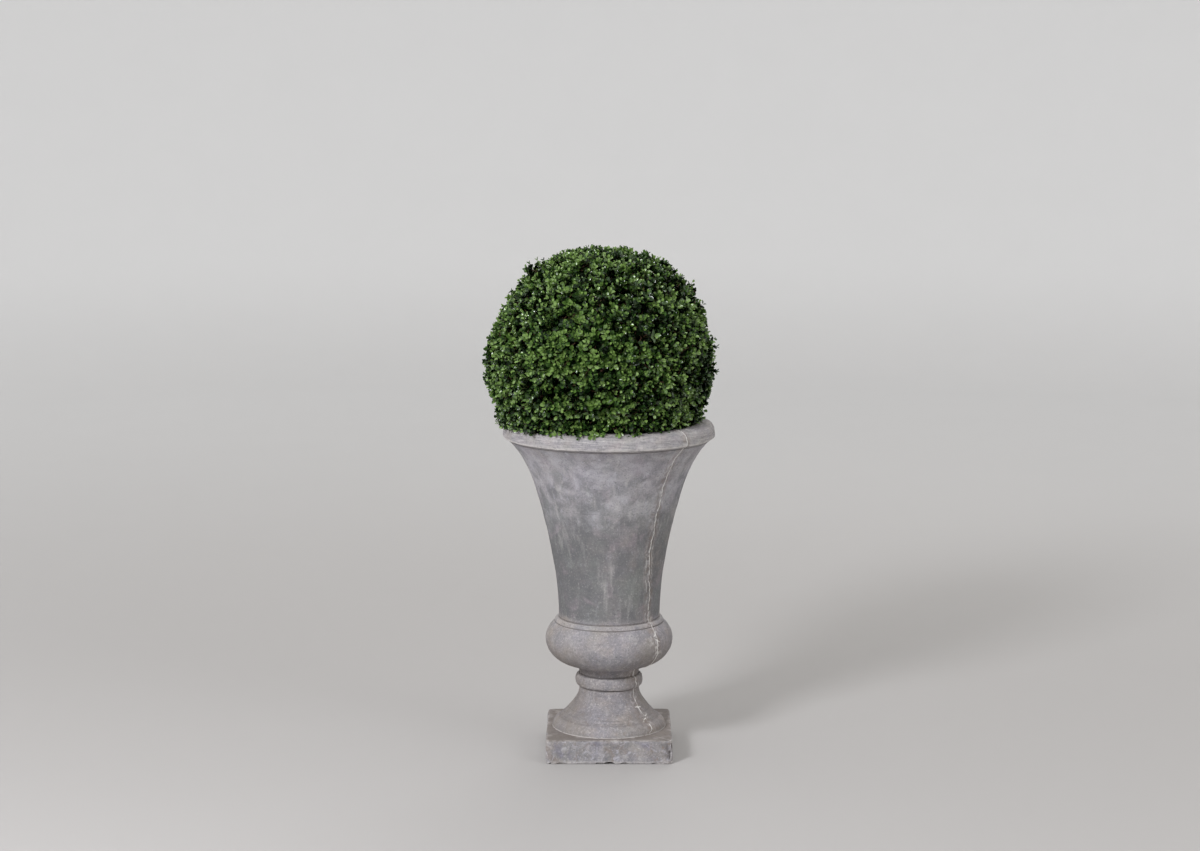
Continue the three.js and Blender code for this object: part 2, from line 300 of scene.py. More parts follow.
# A flat disc that curves up by a quarter circle into a wall all round: radius and height along one profile
def makeStudio():
    s = studio
    turn = np.linspace(0, math.pi / 2, 12)
    edge = s["floorRadius"] + s["coveRadius"]
    flat = s["flatRings"]
    radius = np.concatenate([flat, s["floorRadius"] + s["coveRadius"] * np.sin(turn), [edge]])
    height = np.concatenate([[0] * len(flat), s["coveRadius"] * (1 - np.cos(turn)), [s["wallHeight"]]])
    around = np.linspace(0, 2 * math.pi, s["columns"], endpoint=False)
    points = np.stack([
        radius[:, None] * np.cos(around), radius[:, None] * np.sin(around), height[:, None] + 0 * around,
    ], axis=-1)
    look = Look("studioPaper")
    x, y, z = look.axes()
    # painted light: paler with distance from the middle and with height, darker on the floor near the urn
    paler = ((x * x + y * y) ** 0.5).rise(s["spreadFrom"], s["spreadTo"]) * s["spread"]
    paler = paler + z.rise(s["wallFrom"], s["wallAll"]) * (1 - s["spread"])
    color = look.layered(
        s["floorColor"],
        (s["wallColor"], paler),
        (s["mottle"], look.noise(s["mottleSize"], 4) * s["mottleCover"]),
    )
    material = look.finish(color=color, rough=0.85, specular=0.2)
    floor = makePiece("studioFloor", points, gridFaces(len(radius), len(around)), material)
    world = bpy.context.scene.world or bpy.data.worlds.new("studioAir")
    bpy.context.scene.world = world
    world.use_nodes = True
    air = world.node_tree.nodes["Background"]
    air.inputs["Color"].default_value = (*s["skyColor"], 1.0)
    air.inputs["Strength"].default_value = s["skyStrength"]
    for name, light in softLights.items():
        data = bpy.data.lights.new(name, "AREA")
        data.size = light["size"]
        data.energy = light["power"]
        data.color = light["color"]
        lamp = bpy.data.objects.new(name, data)
        lamp.location = light["place"]
        toAim = Vector((0, 0, light["aim"])) - Vector(light["place"])
        lamp.rotation_euler = toAim.to_track_quat("-Z", "Y").to_euler()
        lamp.visible_camera = False
        bpy.context.scene.collection.objects.link(lamp)


makeStudio()
print("studio ready")


seam = {
    # Reach, pace and start of each sine in its wander
    "wander": ((0.0016, 41.0, 0.6), (0.0009, 97.0, 2.1), (0.0005, 260.0, 0.9)),
    "low": 0.011,
    "crossFrom": 0.400, "crossOver": 0.085, "cross": -0.0155,  # where it steps aside, and how far
    "lipFrom": 0.715, "lipOver": 0.05, "lip": 0.005,
    "plinthTop": 0.062, "plinthOver": 0.006,
    # Place, width and strength of each thread
    "threads": ((0.0, 0.0020, 1.0), (-0.0105, 0.0022, 0.45), (0.0080, 0.0020, 0.35)),
    # Height, slope and reach to either side of each crack
    "cracks": (
        (0.1150, 0.15, 0.013), (0.0915, -0.45, 0.016), (0.2880, 0.5, 0.012), (0.3020, -0.6, 0.010),
    ),
    "crackWidth": 0.0016, "jitter": 0.0030, "crackJitter": 1.6,
    "bandMiddle": -0.002, "band": (0.022, 0.007),
}
stone = {
    "lilac": (0.330, 0.312, 0.346),
    "beige": (0.322, 0.284, 0.262),
    "green": (0.205, 0.219, 0.205),
    "slate": (0.138, 0.139, 0.143),
    "lime": (0.62, 0.59, 0.57),
    "bloom": (0.500, 0.490, 0.545),
    "plum": (0.190, 0.180, 0.220),
    "blush": (0.310, 0.262, 0.285),
    # dustAndShade: dust, also laid as painted shade on the foot's sides and the plinth's top
    "dustAndShade": (0.195, 0.168, 0.150),
    "chalk": (0.80, 0.78, 0.75),
    # sootAndShade: soot in the turning lines, and painted shade in the creases
    "sootAndShade": (0.085, 0.075, 0.070),
    "rust": (0.235, 0.185, 0.155),
    "rough": 0.86, "roughSpread": 0.14, "specular": 0.3,
}
# Size in metres and layers of detail of each noise that the stone is made of; a lower stretch draws it out
stoneNoise = {
    "patch": {"size": 0.085, "detail": 3, "twist": 0.5},
    "cloud": {"size": 0.040, "detail": 5, "shift": (3, 1, 2), "twist": 0.4},
    "green": {"size": 0.12, "detail": 4, "shift": (4, 9, 1), "twist": 0.4},
    "streak": {"size": 0.020, "detail": 4, "stretch": (1, 1, 0.20), "shift": (1, 5, 0)},
    "scratch": {"size": 0.016, "detail": 4, "stretch": (0.5, 0.5, 7), "shift": (2, 8, 6)},
    "grain": {"size": 0.0026, "detail": 2},
    "fleck": {"size": 0.0048, "detail": 3, "shift": (7, 2, 4), "rough": 0.7},
    "blush": {"size": 0.055, "detail": 4, "shift": (2, 6, 9), "twist": 0.6},
    "feather": {"size": 0.014, "detail": 5, "stretch": (1, 1, 0.45), "shift": (6, 6, 1), "rough": 0.7},
    "stain": {"size": 0.016, "detail": 5, "shift": (1, 7, 3), "rough": 0.75},
    "drip": {"size": 0.0075, "detail": 3, "stretch": (1, 1, 0.42), "shift": (9, 9, 2)},
    "smear": {"size": 0.022, "detail": 5, "shift": (5, 2, 8), "twist": 1.2, "rough": 0.7},
    "tone": {"size": 0.050, "detail": 5, "shift": (3, 8, 5), "twist": 0.5, "rough": 0.65},
    "wear": {"size": 0.007, "detail": 3, "shift": (2, 2, 2)},
    "brown": {"size": 0.009, "detail": 4, "stretch": (1, 1, 0.5), "shift": (5, 5, 5), "rough": 0.7},
    "jitter": {"size": 0.006, "detail": 3, "shift": (8, 1, 3)},
    "broken": {"size": 0.018, "detail": 4, "stretch": (0.5, 0.5, 1), "shift": (8, 4, 3), "rough": 0.7},
    "turned": {"size": 0.05, "detail": 3, "stretch": (1, 1, 0.2), "shift": (4, 1, 1)},
    "pits": {"size": 0.0045, "detail": 1, "shift": (6, 3, 9)},
}
# Height at which each part of the urn begins to count, and height at which it counts in full
zones = {
    "plinth": (0.0602, 0.0592), "plinthTop": (0.0545, 0.0568), "base": (0.330, 0.230),
    "wall": (0.328, 0.345), "lowWall": (0.73, 0.53), "highWall": (0.52, 0.72), "underLip": (0.759, 0.752),
    "lip": (0.757, 0.761), "sideThreads": (0.56, 0.48),
}
# How strongly each layer covers what lies under it; streakOffLip and paleOffWall are taken off there
cover = {
    "green": 0.38, "greenLow": 0.42, "slate": 0.38, "slateLow": 0.36, "lowWall": 0.58, "lowLeft": 0.36,
    "blush": 0.42, "blushGreen": 0.40, "bloom": 0.17, "bloomCloud": 0.40, "feather": 0.7,
    "streak": 0.32, "streakOffLip": 0.12, "lip": 0.11, "lipScratch": 0.48, "lipShade": 0.45,
    "darkSand": 0.56, "paleSand": 0.46, "paleOffWall": 0.24, "drip": 0.36,
    "baseRust": 0.45, "baseRight": 0.4, "baseLime": 0.30, "baseDustAndSideShade": 0.50,
    "plinthSlate": 0.08, "plum": 0.66, "plinthRust": 0.46, "plinthBloom": 0.66, "plinthDark": 0.50,
    "plinthTopDustAndShade": 0.80, "sootAndShade": 0.75, "arris": 0.45, "rainLime": 0.85,
    "seamRust": 0.50, "seamLime": 0.34, "thread": 0.25, "threadUp": 0.65, "crack": 0.85, "groove": 0.40,
}
relief = {
    "waver": 0.0007, "waverSize": 0.06, "drag": 0.00035, "dragSize": 0.010,
    "skin": 0.00025, "skinSize": 0.006,
    "ridge": 0.0013, "ridgeWidth": 0.0024, "twinSide": -0.0125, "twin": 0.5,
    "torn": 0.0006, "tornSide": -0.003, "tornWidth": 0.012, "tornSize": 0.004,
    "trough": 0.0006, "troughSide": 0.0052, "troughWidth": 0.0022,
    "holes": 90, "holeDepth": 0.0010, "holeSize": (0.0018, 0.0042),
    "chip": 0.0030, "chipSize": 0.013, "lineSway": 0.0012, "lineWidth": 0.0007,
    "lipLines": (0.772, 0.7765, 0.781, 0.7862, 0.7905), "lipLineDepth": 0.0005,
    "footLines": (0.0868, 0.0935, 0.1040), "footLineDepth": 0.0005,
}


# How far a point lies to the side of the mould seam: (x + y) / sqrt 2, less the seam's wander at its height.
# The same sum serves the mesh, with arrays, and the shader, with signals.
def seamSide(x, y, z, sine, limit):
    wander = seam["low"]
    for reach, pace, start in seam["wander"]:
        wander = wander + reach * sine(z * pace * 2 + start)
    wander = wander + seam["cross"] * limit((z - seam["crossFrom"]) / seam["crossOver"])
    wander = wander + seam["lip"] * limit((z - seam["lipFrom"]) / seam["lipOver"])
    wander = wander * limit((z - seam["plinthTop"]) / seam["plinthOver"])
    return (x + y) * math.sqrt(0.5) - wander


def seamSideArray(points):
    x, y, z = np.moveaxis(points, -1, 0)
    return seamSide(x, y, z, np.sin, lambda t: np.clip(t, 0, 1))


# Cast stone. Its colour starts from lilac, and each shade is laid over it by rise(noise) * zone * cover; its
# relief is a weighted sum of the same noises, less small pits.
def castStone(name):
    look = Look(name)
    c = cover
    x, y, z = look.axes()
    noise = {key: look.noise(**settings) for key, settings in stoneNoise.items()}
    patch, cloud, green, streak = noise["patch"], noise["cloud"], noise["green"], noise["streak"]
    grain, fleck, scratch, feather = noise["grain"], noise["fleck"], noise["scratch"], noise["feather"]
    blush, stain, tone, smear, wear = (noise[key] for key in ("blush", "stain", "tone", "smear", "wear"))
    onPlinth, onBase, onWall, onLip = (z.rise(*zones[key]) for key in ("plinth", "base", "wall", "lip"))
    offPlinth = 1 - onPlinth
    lowWall = onWall * (z + (cloud - 0.5) * 0.22 + (green - 0.5) * 0.20).rise(*zones["lowWall"])
    highWall = (z + (green - 0.5) * 0.25).rise(*zones["highWall"]) * z.rise(*zones["underLip"])

    # Broad soft patches: lilac to beige by the sum of patch and cloud, then green-grey and slate laid over,
    # both heavier on the lower half of the wall, blush on the wall, bloom near its top and lime in streaks
    greenShare = c["green"] + c["greenLow"] * lowWall
    slateShare = c["slate"] + c["slateLow"] * lowWall
    color = look.layered(
        stone["lilac"],
        (stone["beige"], (patch * 0.6 + cloud * 0.5).rise(0.40, 0.74)),
        (stone["green"], (green + streak * 0.3 - 0.15).rise(0.36, 0.66) * greenShare),
        (stone["slate"], (cloud * 0.6 + green * 0.4).rise(0.57, 0.41) * slateShare),
        (stone["slate"], lowWall * (c["lowWall"] + c["lowLeft"] * x.rise(0.02, -0.11))),
        (stone["blush"], onWall * blush.rise(0.52, 0.68) * c["blush"]),
        (stone["green"], onWall * blush.rise(0.46, 0.32) * c["blushGreen"]),
        (stone["bloom"], highWall * (c["bloom"] + c["bloomCloud"] * cloud.rise(0.40, 0.68))),
        (stone["bloom"], (0.25 + highWall * 0.5) * feather.rise(0.54, 0.72) * c["feather"]),
        (stone["lime"], streak.rise(0.52, 0.78) * (c["streak"] - c["streakOffLip"] * onLip)),
        (stone["lime"], onLip * (c["lip"] + c["lipScratch"] * scratch.rise(0.50, 0.72))),
        (stone["slate"], onLip * scratch.rise(0.48, 0.30) * c["lipShade"]),
    )

    # Dark and pale sand of the cast, stains on foot and bulb, dust with painted shade darker towards their
    # left and right sides, and small white drips
    sand = fleck * 0.6 + grain * 0.4
    rustShare = c["baseRust"] + c["baseRight"] * x.rise(0.0, 0.09)
    # painted shade, partly dust: 0 in the middle, 1 towards the left and right sides
    offMiddle = (x.size() + stain * 0.06).rise(0.05, 0.12)
    color = look.layered(
        color,
        (stone["slate"], sand.rise(0.48, 0.35) * c["darkSand"]),
        (stone["lime"], sand.rise(0.52, 0.66) * (c["paleSand"] - c["paleOffWall"] * onWall)),
        (stone["rust"], stain.rise(0.54, 0.70) * onBase * rustShare),
        (stone["lime"], stain.rise(0.46, 0.30) * onBase * c["baseLime"]),
        (stone["dustAndShade"], onBase * offPlinth * offMiddle * c["baseDustAndSideShade"]),
        (stone["lime"], noise["drip"].rise(0.69, 0.76) * patch.rise(0.42, 0.60) * c["drip"]),
    )

    # The plinth: plum and rust by tone, bloom and slate in smears over them, and dust with painted shade
    # darkening its top
    color = look.layered(
        color,
        (stone["slate"], onPlinth * c["plinthSlate"]),
        (stone["plum"], onPlinth * tone.rise(0.50, 0.64) * c["plum"]),
        (stone["rust"], onPlinth * tone.rise(0.47, 0.37) * c["plinthRust"]),
        (stone["bloom"], onPlinth * smear.rise(0.52, 0.68) * c["plinthBloom"]),
        (stone["slate"], onPlinth * smear.rise(0.48, 0.32) * c["plinthDark"]),
        # painted shade with some dust: the plinth's top is laid darker
        (stone["dustAndShade"], z.rise(*zones["plinthTop"]) * onPlinth * c["plinthTopDustAndShade"]),
    )

    # Painted shade darkening the creases, wear with painted highlight on the arrises, and lime where rain
    # sits
    edge = look.attribute("edge")
    lime = look.attribute("lime")
    color = look.layered(
        color,
        # painted shade: darker where the edge attribute marks a crease
        (stone["sootAndShade"], ((0 - edge) * (0.55 + wear * 0.6)).clamped() * c["sootAndShade"]),
        # wear and painted highlight: paler along the arrises
        (stone["lime"], (edge * wear.rise(0.34, 0.64)).clamped() * c["arris"]),
        (stone["lime"], (lime * wear.rise(0.22, 0.50)).clamped() * c["rainLime"]),
    )

    # Mould seam: a rough brown band with one pale broken thread and two faint ones beside it
    side = seamSide(x, y, z, Signal.sine, Signal.clamped)
    brown = noise["brown"]
    band = (side - seam["bandMiddle"]).size().rise(*seam["band"])
    color = look.layered(
        color,
        (stone["rust"], band * brown.rise(0.38, 0.66) * offPlinth * c["seamRust"]),
        (stone["lime"], band * brown.rise(0.50, 0.34) * offPlinth * c["seamLime"]),
    )
    jitter = (noise["jitter"] - 0.5) * seam["jitter"]
    broken = noise["broken"].rise(0.36, 0.52)
    for place, width, strength in seam["threads"]:
        thread = (side + jitter).line(place, width)
        if place:
            thread = thread * onWall * z.rise(*zones["sideThreads"]) * streak.rise(0.40, 0.56)
        chalk = (thread * broken * strength).clamped() * (c["thread"] + c["threadUp"] * offPlinth)
        color = look.mixed(chalk, color, stone["chalk"])

    # Short cracks across the seam, and faint turning lines round the foot
    for height, slope, reach in seam["cracks"]:
        crack = (z + side * slope + jitter * seam["crackJitter"]).line(height, seam["crackWidth"])
        crack = crack * side.size().rise(reach, reach * 0.5)
        color = look.mixed(crack * c["crack"], color, stone["chalk"])
    turned = noise["turned"]
    for height in relief["footLines"]:
        groove = (z + (turned - 0.5) * 0.004).line(height, 0.0014) * turned.rise(0.30, 0.70)
        color = look.mixed(groove * c["groove"], color, stone["sootAndShade"])

    rough = stone["rough"] + (grain - 0.5) * stone["roughSpread"]
    height = cloud * 0.30 + streak * 0.22 + fleck * 0.6 + grain * 0.40 + scratch * onLip * 0.6
    normal = look.bump(height, 0.0020, 0.60)
    normal = look.bump(0 - noise["pits"].rise(0.36, 0.22), 0.0008, 0.6, under=normal)
    return look.finish(color=color, rough=rough, normal=normal, specular=stone["specular"])


castStoneFinish = castStone("castStone")


# Height of a turned solid's bottom and top, and its outer radius
def edgesOf(node):
    low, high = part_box(node)
    return {"bottom": low.z, "top": high.z, "radius": (high.y - low.y) / 2}


plinthBox, footBox, ringBox, neckBox = (edgesOf(node) for node in ("plinth", "foot", "neck_ring", "neck"))
bulbBox, lowerWallBox, upperWallBox, rimBox = (
    edgesOf(node) for node in ("bulb", "wall_lower", "wall_upper", "rim")
)
urnNames = {
    "foot": "urnFoot", "neck_ring": "urnNeckRing", "neck": "urnNeck", "bulb": "urnBulb",
    "wall_lower": "urnWallLower", "wall_upper": "urnWallUpper", "rim": "urnRim",
}
urnShape = {
    "stepRadius": 0.121, "stepHeight": 0.0235, "discBulge": 0.005, "seat": 0.0008,
    "scotiaBottom": 0.118, "scotiaWaist": 0.0715, "scotiaBelow": 0.0075, "scotiaLift": 0.0018,
    "scotiaBend": (0.0015, 0.044), "ringSeat": 0.073, "ringTurn": 88,
    "neckWaist": 0.0705, "neckBend": 0.009,
    "bulbCore": 0.080, "bulbMiddle": 0.274, "bulbDrop": 0.0635, "bulbRise": 0.0585, "bulbTurn": -86.5,
    "grooveHeight": 0.3155, "grooveDepth": 0.0015, "filletRadius": 0.130, "filletTopRadius": 0.123,
    "filletBottom": 0.3172, "filletTop": 0.3255, "ledge": 0.0012, "bowlFloor": 0.238,
    "wallFoot": 0.1205, "sweep": 0.095, "sweepPower": 1.75, "flare": 0.025, "flarePower": 12,
    "lipUnder": (0.0006, 0.0008), "noseHeight": 0.011, "noseUnder": (0.001, 0.004), "noseOver": 0.0015,
    "shoulderRadius": 0.222, "shoulderHeight": 0.020, "mouthRadius": 0.208, "mouthRound": (0.005, 0.006),
    "lipFall": 0.012,
    "wallThickness": 0.028, "rowStep": 0.0021, "fineRows": 0.6,
    "columns": 264, "seamColumns": 34, "seamSpread": 0.11, "seamTurns": (-41, 139),  # degrees from +X
    "arrisReach": 0.0022, "edgeGain": 1.6, "softCrease": (0.300, 0.312),
}


def curveThrough(start, control, end, steps=24):
    t = np.linspace(0, 1, steps)[:, None]
    start, control, end = np.array(start), np.array(control), np.array(end)
    return (1 - t) ** 2 * start + 2 * t * (1 - t) * control + t**2 * end


def ellipseArc(centre, across, up, fromTurn, toTurn, steps=32):
    t = np.radians(np.linspace(fromTurn, toTurn, steps))
    return np.stack([centre[0] + across * np.cos(t), centre[1] + up * np.sin(t)], axis=-1)


# The wall's radius at a height: the foot's, plus a slow sweep and a sharp flare under the lip
def wallRadius(z):
    low, high = lowerWallBox["bottom"], upperWallBox["top"]
    up = np.clip((z - low) / (high - low), 0, 1)
    return (
        urnShape["wallFoot"] + urnShape["sweep"] * up ** urnShape["sweepPower"]
        + urnShape["flare"] * up ** urnShape["flarePower"]
    )


# The urn's outside from the plinth's top to the mouth, one moulding after another, each as its node's name
# and its (radius, height) points
def urnMouldings():
    s = urnShape
    base = footBox["bottom"]
    step = base + s["stepHeight"]
    discMiddle = (
        (footBox["radius"] + s["stepRadius"]) / 2 + s["discBulge"],
        base + s["stepHeight"] / 2 + s["discBulge"],
    )
    disc = curveThrough((footBox["radius"], base), discMiddle, (s["stepRadius"], step))
    scotiaFoot = (s["scotiaBottom"], step + s["scotiaLift"])
    scotiaBend = (s["scotiaWaist"] + s["scotiaBend"][0], step + s["scotiaBend"][1])
    scotia = curveThrough(scotiaFoot, scotiaBend, (s["scotiaWaist"], footBox["top"] - s["scotiaBelow"]))
    foot = np.concatenate([disc, scotia, [[s["scotiaWaist"] - s["seat"], footBox["top"]]]])

    middle = (ringBox["bottom"] + ringBox["top"]) / 2
    half = (ringBox["top"] - ringBox["bottom"]) / 2
    bulge = ringBox["radius"] - s["ringSeat"]
    ring = ellipseArc((s["ringSeat"], middle), bulge, half, -s["ringTurn"], s["ringTurn"])

    neckBend = (s["neckWaist"], neckBox["top"] - s["neckBend"])
    neck = curveThrough((s["neckWaist"], neckBox["bottom"]), neckBend, (neckBox["radius"], neckBox["top"]))

    bulge = bulbBox["radius"] - s["bulbCore"]
    centre = (s["bulbCore"], s["bulbMiddle"])
    grooveTurn = math.degrees(math.asin((s["grooveHeight"] - 0.001 - s["bulbMiddle"]) / s["bulbRise"]))
    lower = ellipseArc(centre, bulge, s["bulbDrop"], s["bulbTurn"], 0)
    upper = ellipseArc(centre, bulge, s["bulbRise"], 1, grooveTurn)
    groove = [[s["filletRadius"] - s["grooveDepth"], s["grooveHeight"] + 0.0004]]
    fillet = ellipseArc(
        (s["filletTopRadius"], s["filletBottom"]),
        s["filletRadius"] - s["filletTopRadius"], s["filletTop"] - s["filletBottom"], 0, 90, 12,
    )
    ledge = [[s["wallFoot"] - s["seat"], s["filletTop"] + s["ledge"]], [s["wallFoot"], bulbBox["top"]]]
    bulb = np.concatenate([lower, upper, groove, fillet, ledge])

    def wall(box):
        z = np.linspace(box["bottom"], box["top"], 60)
        return np.stack([wallRadius(z), z], axis=-1)

    nose = rimBox["bottom"] + s["noseHeight"]
    underLip = [
        [upperWallBox["radius"] + s["lipUnder"][0], rimBox["bottom"] + s["lipUnder"][1]],
        [rimBox["radius"] - s["noseUnder"][0], nose - s["noseUnder"][1]],
        [rimBox["radius"], nose],
    ]
    shoulder = ellipseArc(
        (s["shoulderRadius"], rimBox["top"] - s["shoulderHeight"]),
        rimBox["radius"] - s["noseOver"] - s["shoulderRadius"], s["shoulderHeight"], 0, 90,
    )
    mouth = [
        [s["mouthRadius"] + s["mouthRound"][0], rimBox["top"]],
        [s["mouthRadius"], rimBox["top"] - s["mouthRound"][1]],
    ]
    rim = np.concatenate([underLip, shoulder, mouth])
    return [
        ("foot", foot), ("neck_ring", ring), ("neck", neck), ("bulb", bulb),
        ("wall_lower", wall(lowerWallBox)), ("wall_upper", wall(upperWallBox)), ("rim", rim),
    ]


# How far along a profile each of its points lies
def lengthAlong(profile):
    return np.concatenate([[0], np.cumsum(np.linalg.norm(np.diff(profile, axis=0), axis=1))])


def evenSteps(profile, step):
    length = lengthAlong(profile)
    at = np.linspace(0, length[-1], max(4, int(length[-1] / step)))
    return np.stack([np.interp(at, length, profile[:, 0]), np.interp(at, length, profile[:, 1])], axis=-1)


# How sharply a profile turns, blurred along its length: above 0 on arrises, below 0 in creases
def arrisAndCrease(profile, reach):
    run = np.diff(profile, axis=0)
    turn = np.zeros(len(profile))
    turn[1:-1] = np.diff(np.unwrap(np.arctan2(run[:, 1], run[:, 0])))
    place = lengthAlong(profile)
    return (bell(place[:, None] - place[None, :], reach) * turn[None, :]).sum(1)


# Angles round the urn, set closer together near the two mould seams
def urnTurns():
    s = urnShape
    dial = np.linspace(0, 2 * math.pi, 4001)
    density = np.full(len(dial), s["columns"] / (2 * math.pi))
    for turn in s["seamTurns"]:
        away = np.angle(np.exp(1j * (dial - math.radians(turn))))
        density += s["seamColumns"] / (s["seamSpread"] * math.sqrt(math.pi)) * bell(away, s["seamSpread"])
    total = np.concatenate([[0], np.cumsum((density[1:] + density[:-1]) / 2 * np.diff(dial))])
    count = int(total[-1])
    return np.interp(np.arange(count) / count * total[-1], total, dial)


# How far the casting stands out from its true shape: slow waver, drag marks and skin, the seam's ridge with
# a weaker twin, torn skin and a trough beside it, less the turning lines and the chips on its arrises
def stoneRelief(points, edge):
    r = relief
    z = points[..., 2]
    out = r["waver"] * valueNoise(points, r["waverSize"], 3)
    out += r["drag"] * valueNoise(points * (1, 1, 0.3), r["dragSize"], 4)
    out += r["skin"] * layeredNoise(points, r["skinSize"], 5, 2)
    side = seamSideArray(points)
    ridge = bell(side, r["ridgeWidth"]) + bell(side - r["twinSide"], r["ridgeWidth"]) * r["twin"]
    out += ridge * r["ridge"] * (0.65 + 0.5 * valueNoise(points, 0.014, 6))
    out += bell(side - r["tornSide"], r["tornWidth"]) * valueNoise(points, r["tornSize"], 8) * r["torn"]
    out -= r["trough"] * bell(side - r["troughSide"], r["troughWidth"])
    lineSets = ((r["lipLines"], r["lipLineDepth"], 11), (r["footLines"], r["footLineDepth"], 12))
    for lines, depth, seed in lineSets:
        sway = r["lineSway"] * valueNoise(points * (1, 1, 0), 0.12, seed)
        strength = smoothStep(-0.25, 0.45, valueNoise(points * (1, 1, 0.5), 0.05, seed + 1))
        for height in lines:
            out -= depth * strength * bell(z - height - sway, r["lineWidth"])
    broken = smoothStep(0.30, 0.62, valueNoise(points, r["chipSize"], 14))
    return out - r["chip"] * broken * np.clip(edge, 0, 1)


# Small round air holes left in the casting's skin
def airHoles(points, seed):
    rng = np.random.default_rng(seed)
    flat = points.reshape(-1, 3)
    picks = flat[rng.integers(0, len(flat), relief["holes"])]
    depth = np.zeros(len(flat))
    for centre in picks:
        size = rng.uniform(*relief["holeSize"])
        near = np.abs(flat[:, 2] - centre[2]) < size * 2
        away = np.linalg.norm(flat[near] - centre, axis=1)
        depth[near] += relief["holeDepth"] * bell(away, size)
    return depth.reshape(points.shape[:-1])


# Lime where rain water sits: round the disc on the plinth, under the lip and splashed along the seam over the
# bulb; on the fillet's two edges, lime and painted highlight
def limeOn(node, points):
    z = points[..., 2]
    lime = np.zeros(z.shape)
    if node == "foot":
        lime += bell(z - footBox["bottom"] - 0.0006, 0.0012)
    if node == "rim":
        radius = np.linalg.norm(points[..., :2], axis=-1)
        worn = bell(z - rimBox["bottom"] - urnShape["noseHeight"] + 0.0032, 0.0017)
        worn = worn * (radius > rimBox["radius"] - 0.006)
        lime += worn * smoothStep(-0.6, 0.1, valueNoise(points, 0.03, 31))
    if node == "bulb":
        # lime and painted highlight: pale lines along the fillet's two edges
        lime += 0.35 * bell(z - urnShape["filletTop"], 0.0008)
        lime += 0.40 * bell(z - urnShape["filletBottom"], 0.0009)
    splash = smoothStep(0.030, 0.004, np.abs(seamSideArray(points) + 0.004))
    splash = splash * smoothStep(0.200, 0.225, z) * smoothStep(0.350, 0.335, z)
    return lime + splash * smoothStep(0.25, 0.55, layeredNoise(points, 0.014, 33, 3))


# The hidden inside of each moulding as coarse points, from its top edge back to its bottom edge
def insideOf(node, profile):
    top, bottom = profile[-1], profile[0]
    s = urnShape
    if node in ("foot", "neck_ring", "neck"):
        return np.array([[0.0, top[1]], [0.0, bottom[1]]])
    if node == "bulb":
        inner = bulbBox["radius"] - s["wallThickness"]
        mouth = s["wallFoot"] - s["wallThickness"]
        hollow = curveThrough((mouth, top[1]), (inner, top[1] - 0.02), (inner, s["bulbMiddle"]), 8)
        floor = s["bowlFloor"]
        bowl = curveThrough((inner, s["bulbMiddle"] - 0.004), (inner - 0.006, floor), (inner / 2, floor), 8)
        return np.concatenate([hollow, bowl, [[0.0, floor], [0.0, bottom[1]]]])
    if node == "rim":
        return np.array([[profile[0][0] - s["wallThickness"], bottom[1]]])
    z = np.linspace(top[1], bottom[1], 12)
    return np.stack([wallRadius(z) - s["wallThickness"], z], axis=-1)


# Each moulding is its profile turned about the axis, with relief along its outward normals
def makeUrn():
    dense = []
    for node, profile in urnMouldings():
        fineness = 1 if node == "wall_lower" else urnShape["fineRows"]
        dense.append((node, evenSteps(profile, urnShape["rowStep"] * fineness)))
    edges = arrisAndCrease(np.concatenate([profile for _, profile in dense]), urnShape["arrisReach"])
    turns = urnTurns()
    columns = len(turns)
    spin = np.stack([np.cos(turns), np.sin(turns)], axis=-1)
    start = 0
    for number, (node, profile) in enumerate(dense):
        count = len(profile)
        edge = edges[start:start + count]
        start += count
        inside = insideOf(node, profile)
        outline = np.concatenate([profile, inside])
        rows = len(outline)
        points = np.empty((rows, columns, 3))
        points[..., :2] = outline[:, None, :1] * spin[None]
        points[..., 2] = outline[:, 1:2]
        run = np.gradient(profile, axis=0)
        run /= np.linalg.norm(run, axis=1, keepdims=True) + 1e-12
        out = stoneRelief(points[:count], np.repeat(edge[:, None], columns, axis=1))
        out -= airHoles(points[:count], 50 + number)
        points[:count, :, :2] += (out * run[:, 1:])[..., None] * spin[None]
        points[:count, :, 2] -= out * run[:, :1]
        softer = 1 - 0.5 * (node == "bulb") * smoothStep(*urnShape["softCrease"], profile[:, 1])
        edgeValue, limeValue = np.zeros((2, rows, columns))
        edgeValue[:count] = np.clip(edge * softer * urnShape["edgeGain"], -1, 1)[:, None]
        limeValue[:count] = limeOn(node, points[:count])
        faces = gridFaces(rows, columns)
        if inside[-1][0] > 0:  # a ring inside, so its last row is joined back to the first
            loop = np.arange(columns)
            after = (loop + 1) % columns
            last = (rows - 1) * columns
            faces = np.concatenate([faces, np.stack([last + loop, last + after, after, loop], axis=-1)])
        # edge: below 0 it paints crease shade, above 0 arris wear with painted highlight
        values = {"edge": edgeValue, "lime": limeValue}
        piece = makePiece(urnNames[node], points, faces, castStoneFinish, values)
        closeSolid(piece)
        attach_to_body(piece, "root")
        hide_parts(node)
        print("urn:", urnNames[node], len(faces), "faces")


makeUrn()

plinth = {
    "half": 0.150, "cornerRadius": 0.007, "arris": 0.0022, "step": 0.0023, "core": 0.40, "coreRows": 4,
    "topRows": 34, "notchWidth": 0.026, "notchHeight": 0.006, "notchTo": -0.090,
    "waver": 0.0008, "waverSize": 0.05, "skin": 0.0003, "skinSize": 0.009,
    "edgeReach": 0.0035, "footReach": 0.0030, "uprightReach": 0.006,
    "chipDepth": 0.0062, "chipSize": 0.009, "chipFine": 0.0045, "worn": 0.0009,
    "cornerLoss": 0.0075, "cornerReach": 0.017, "cornerFrom": 0.012,
}


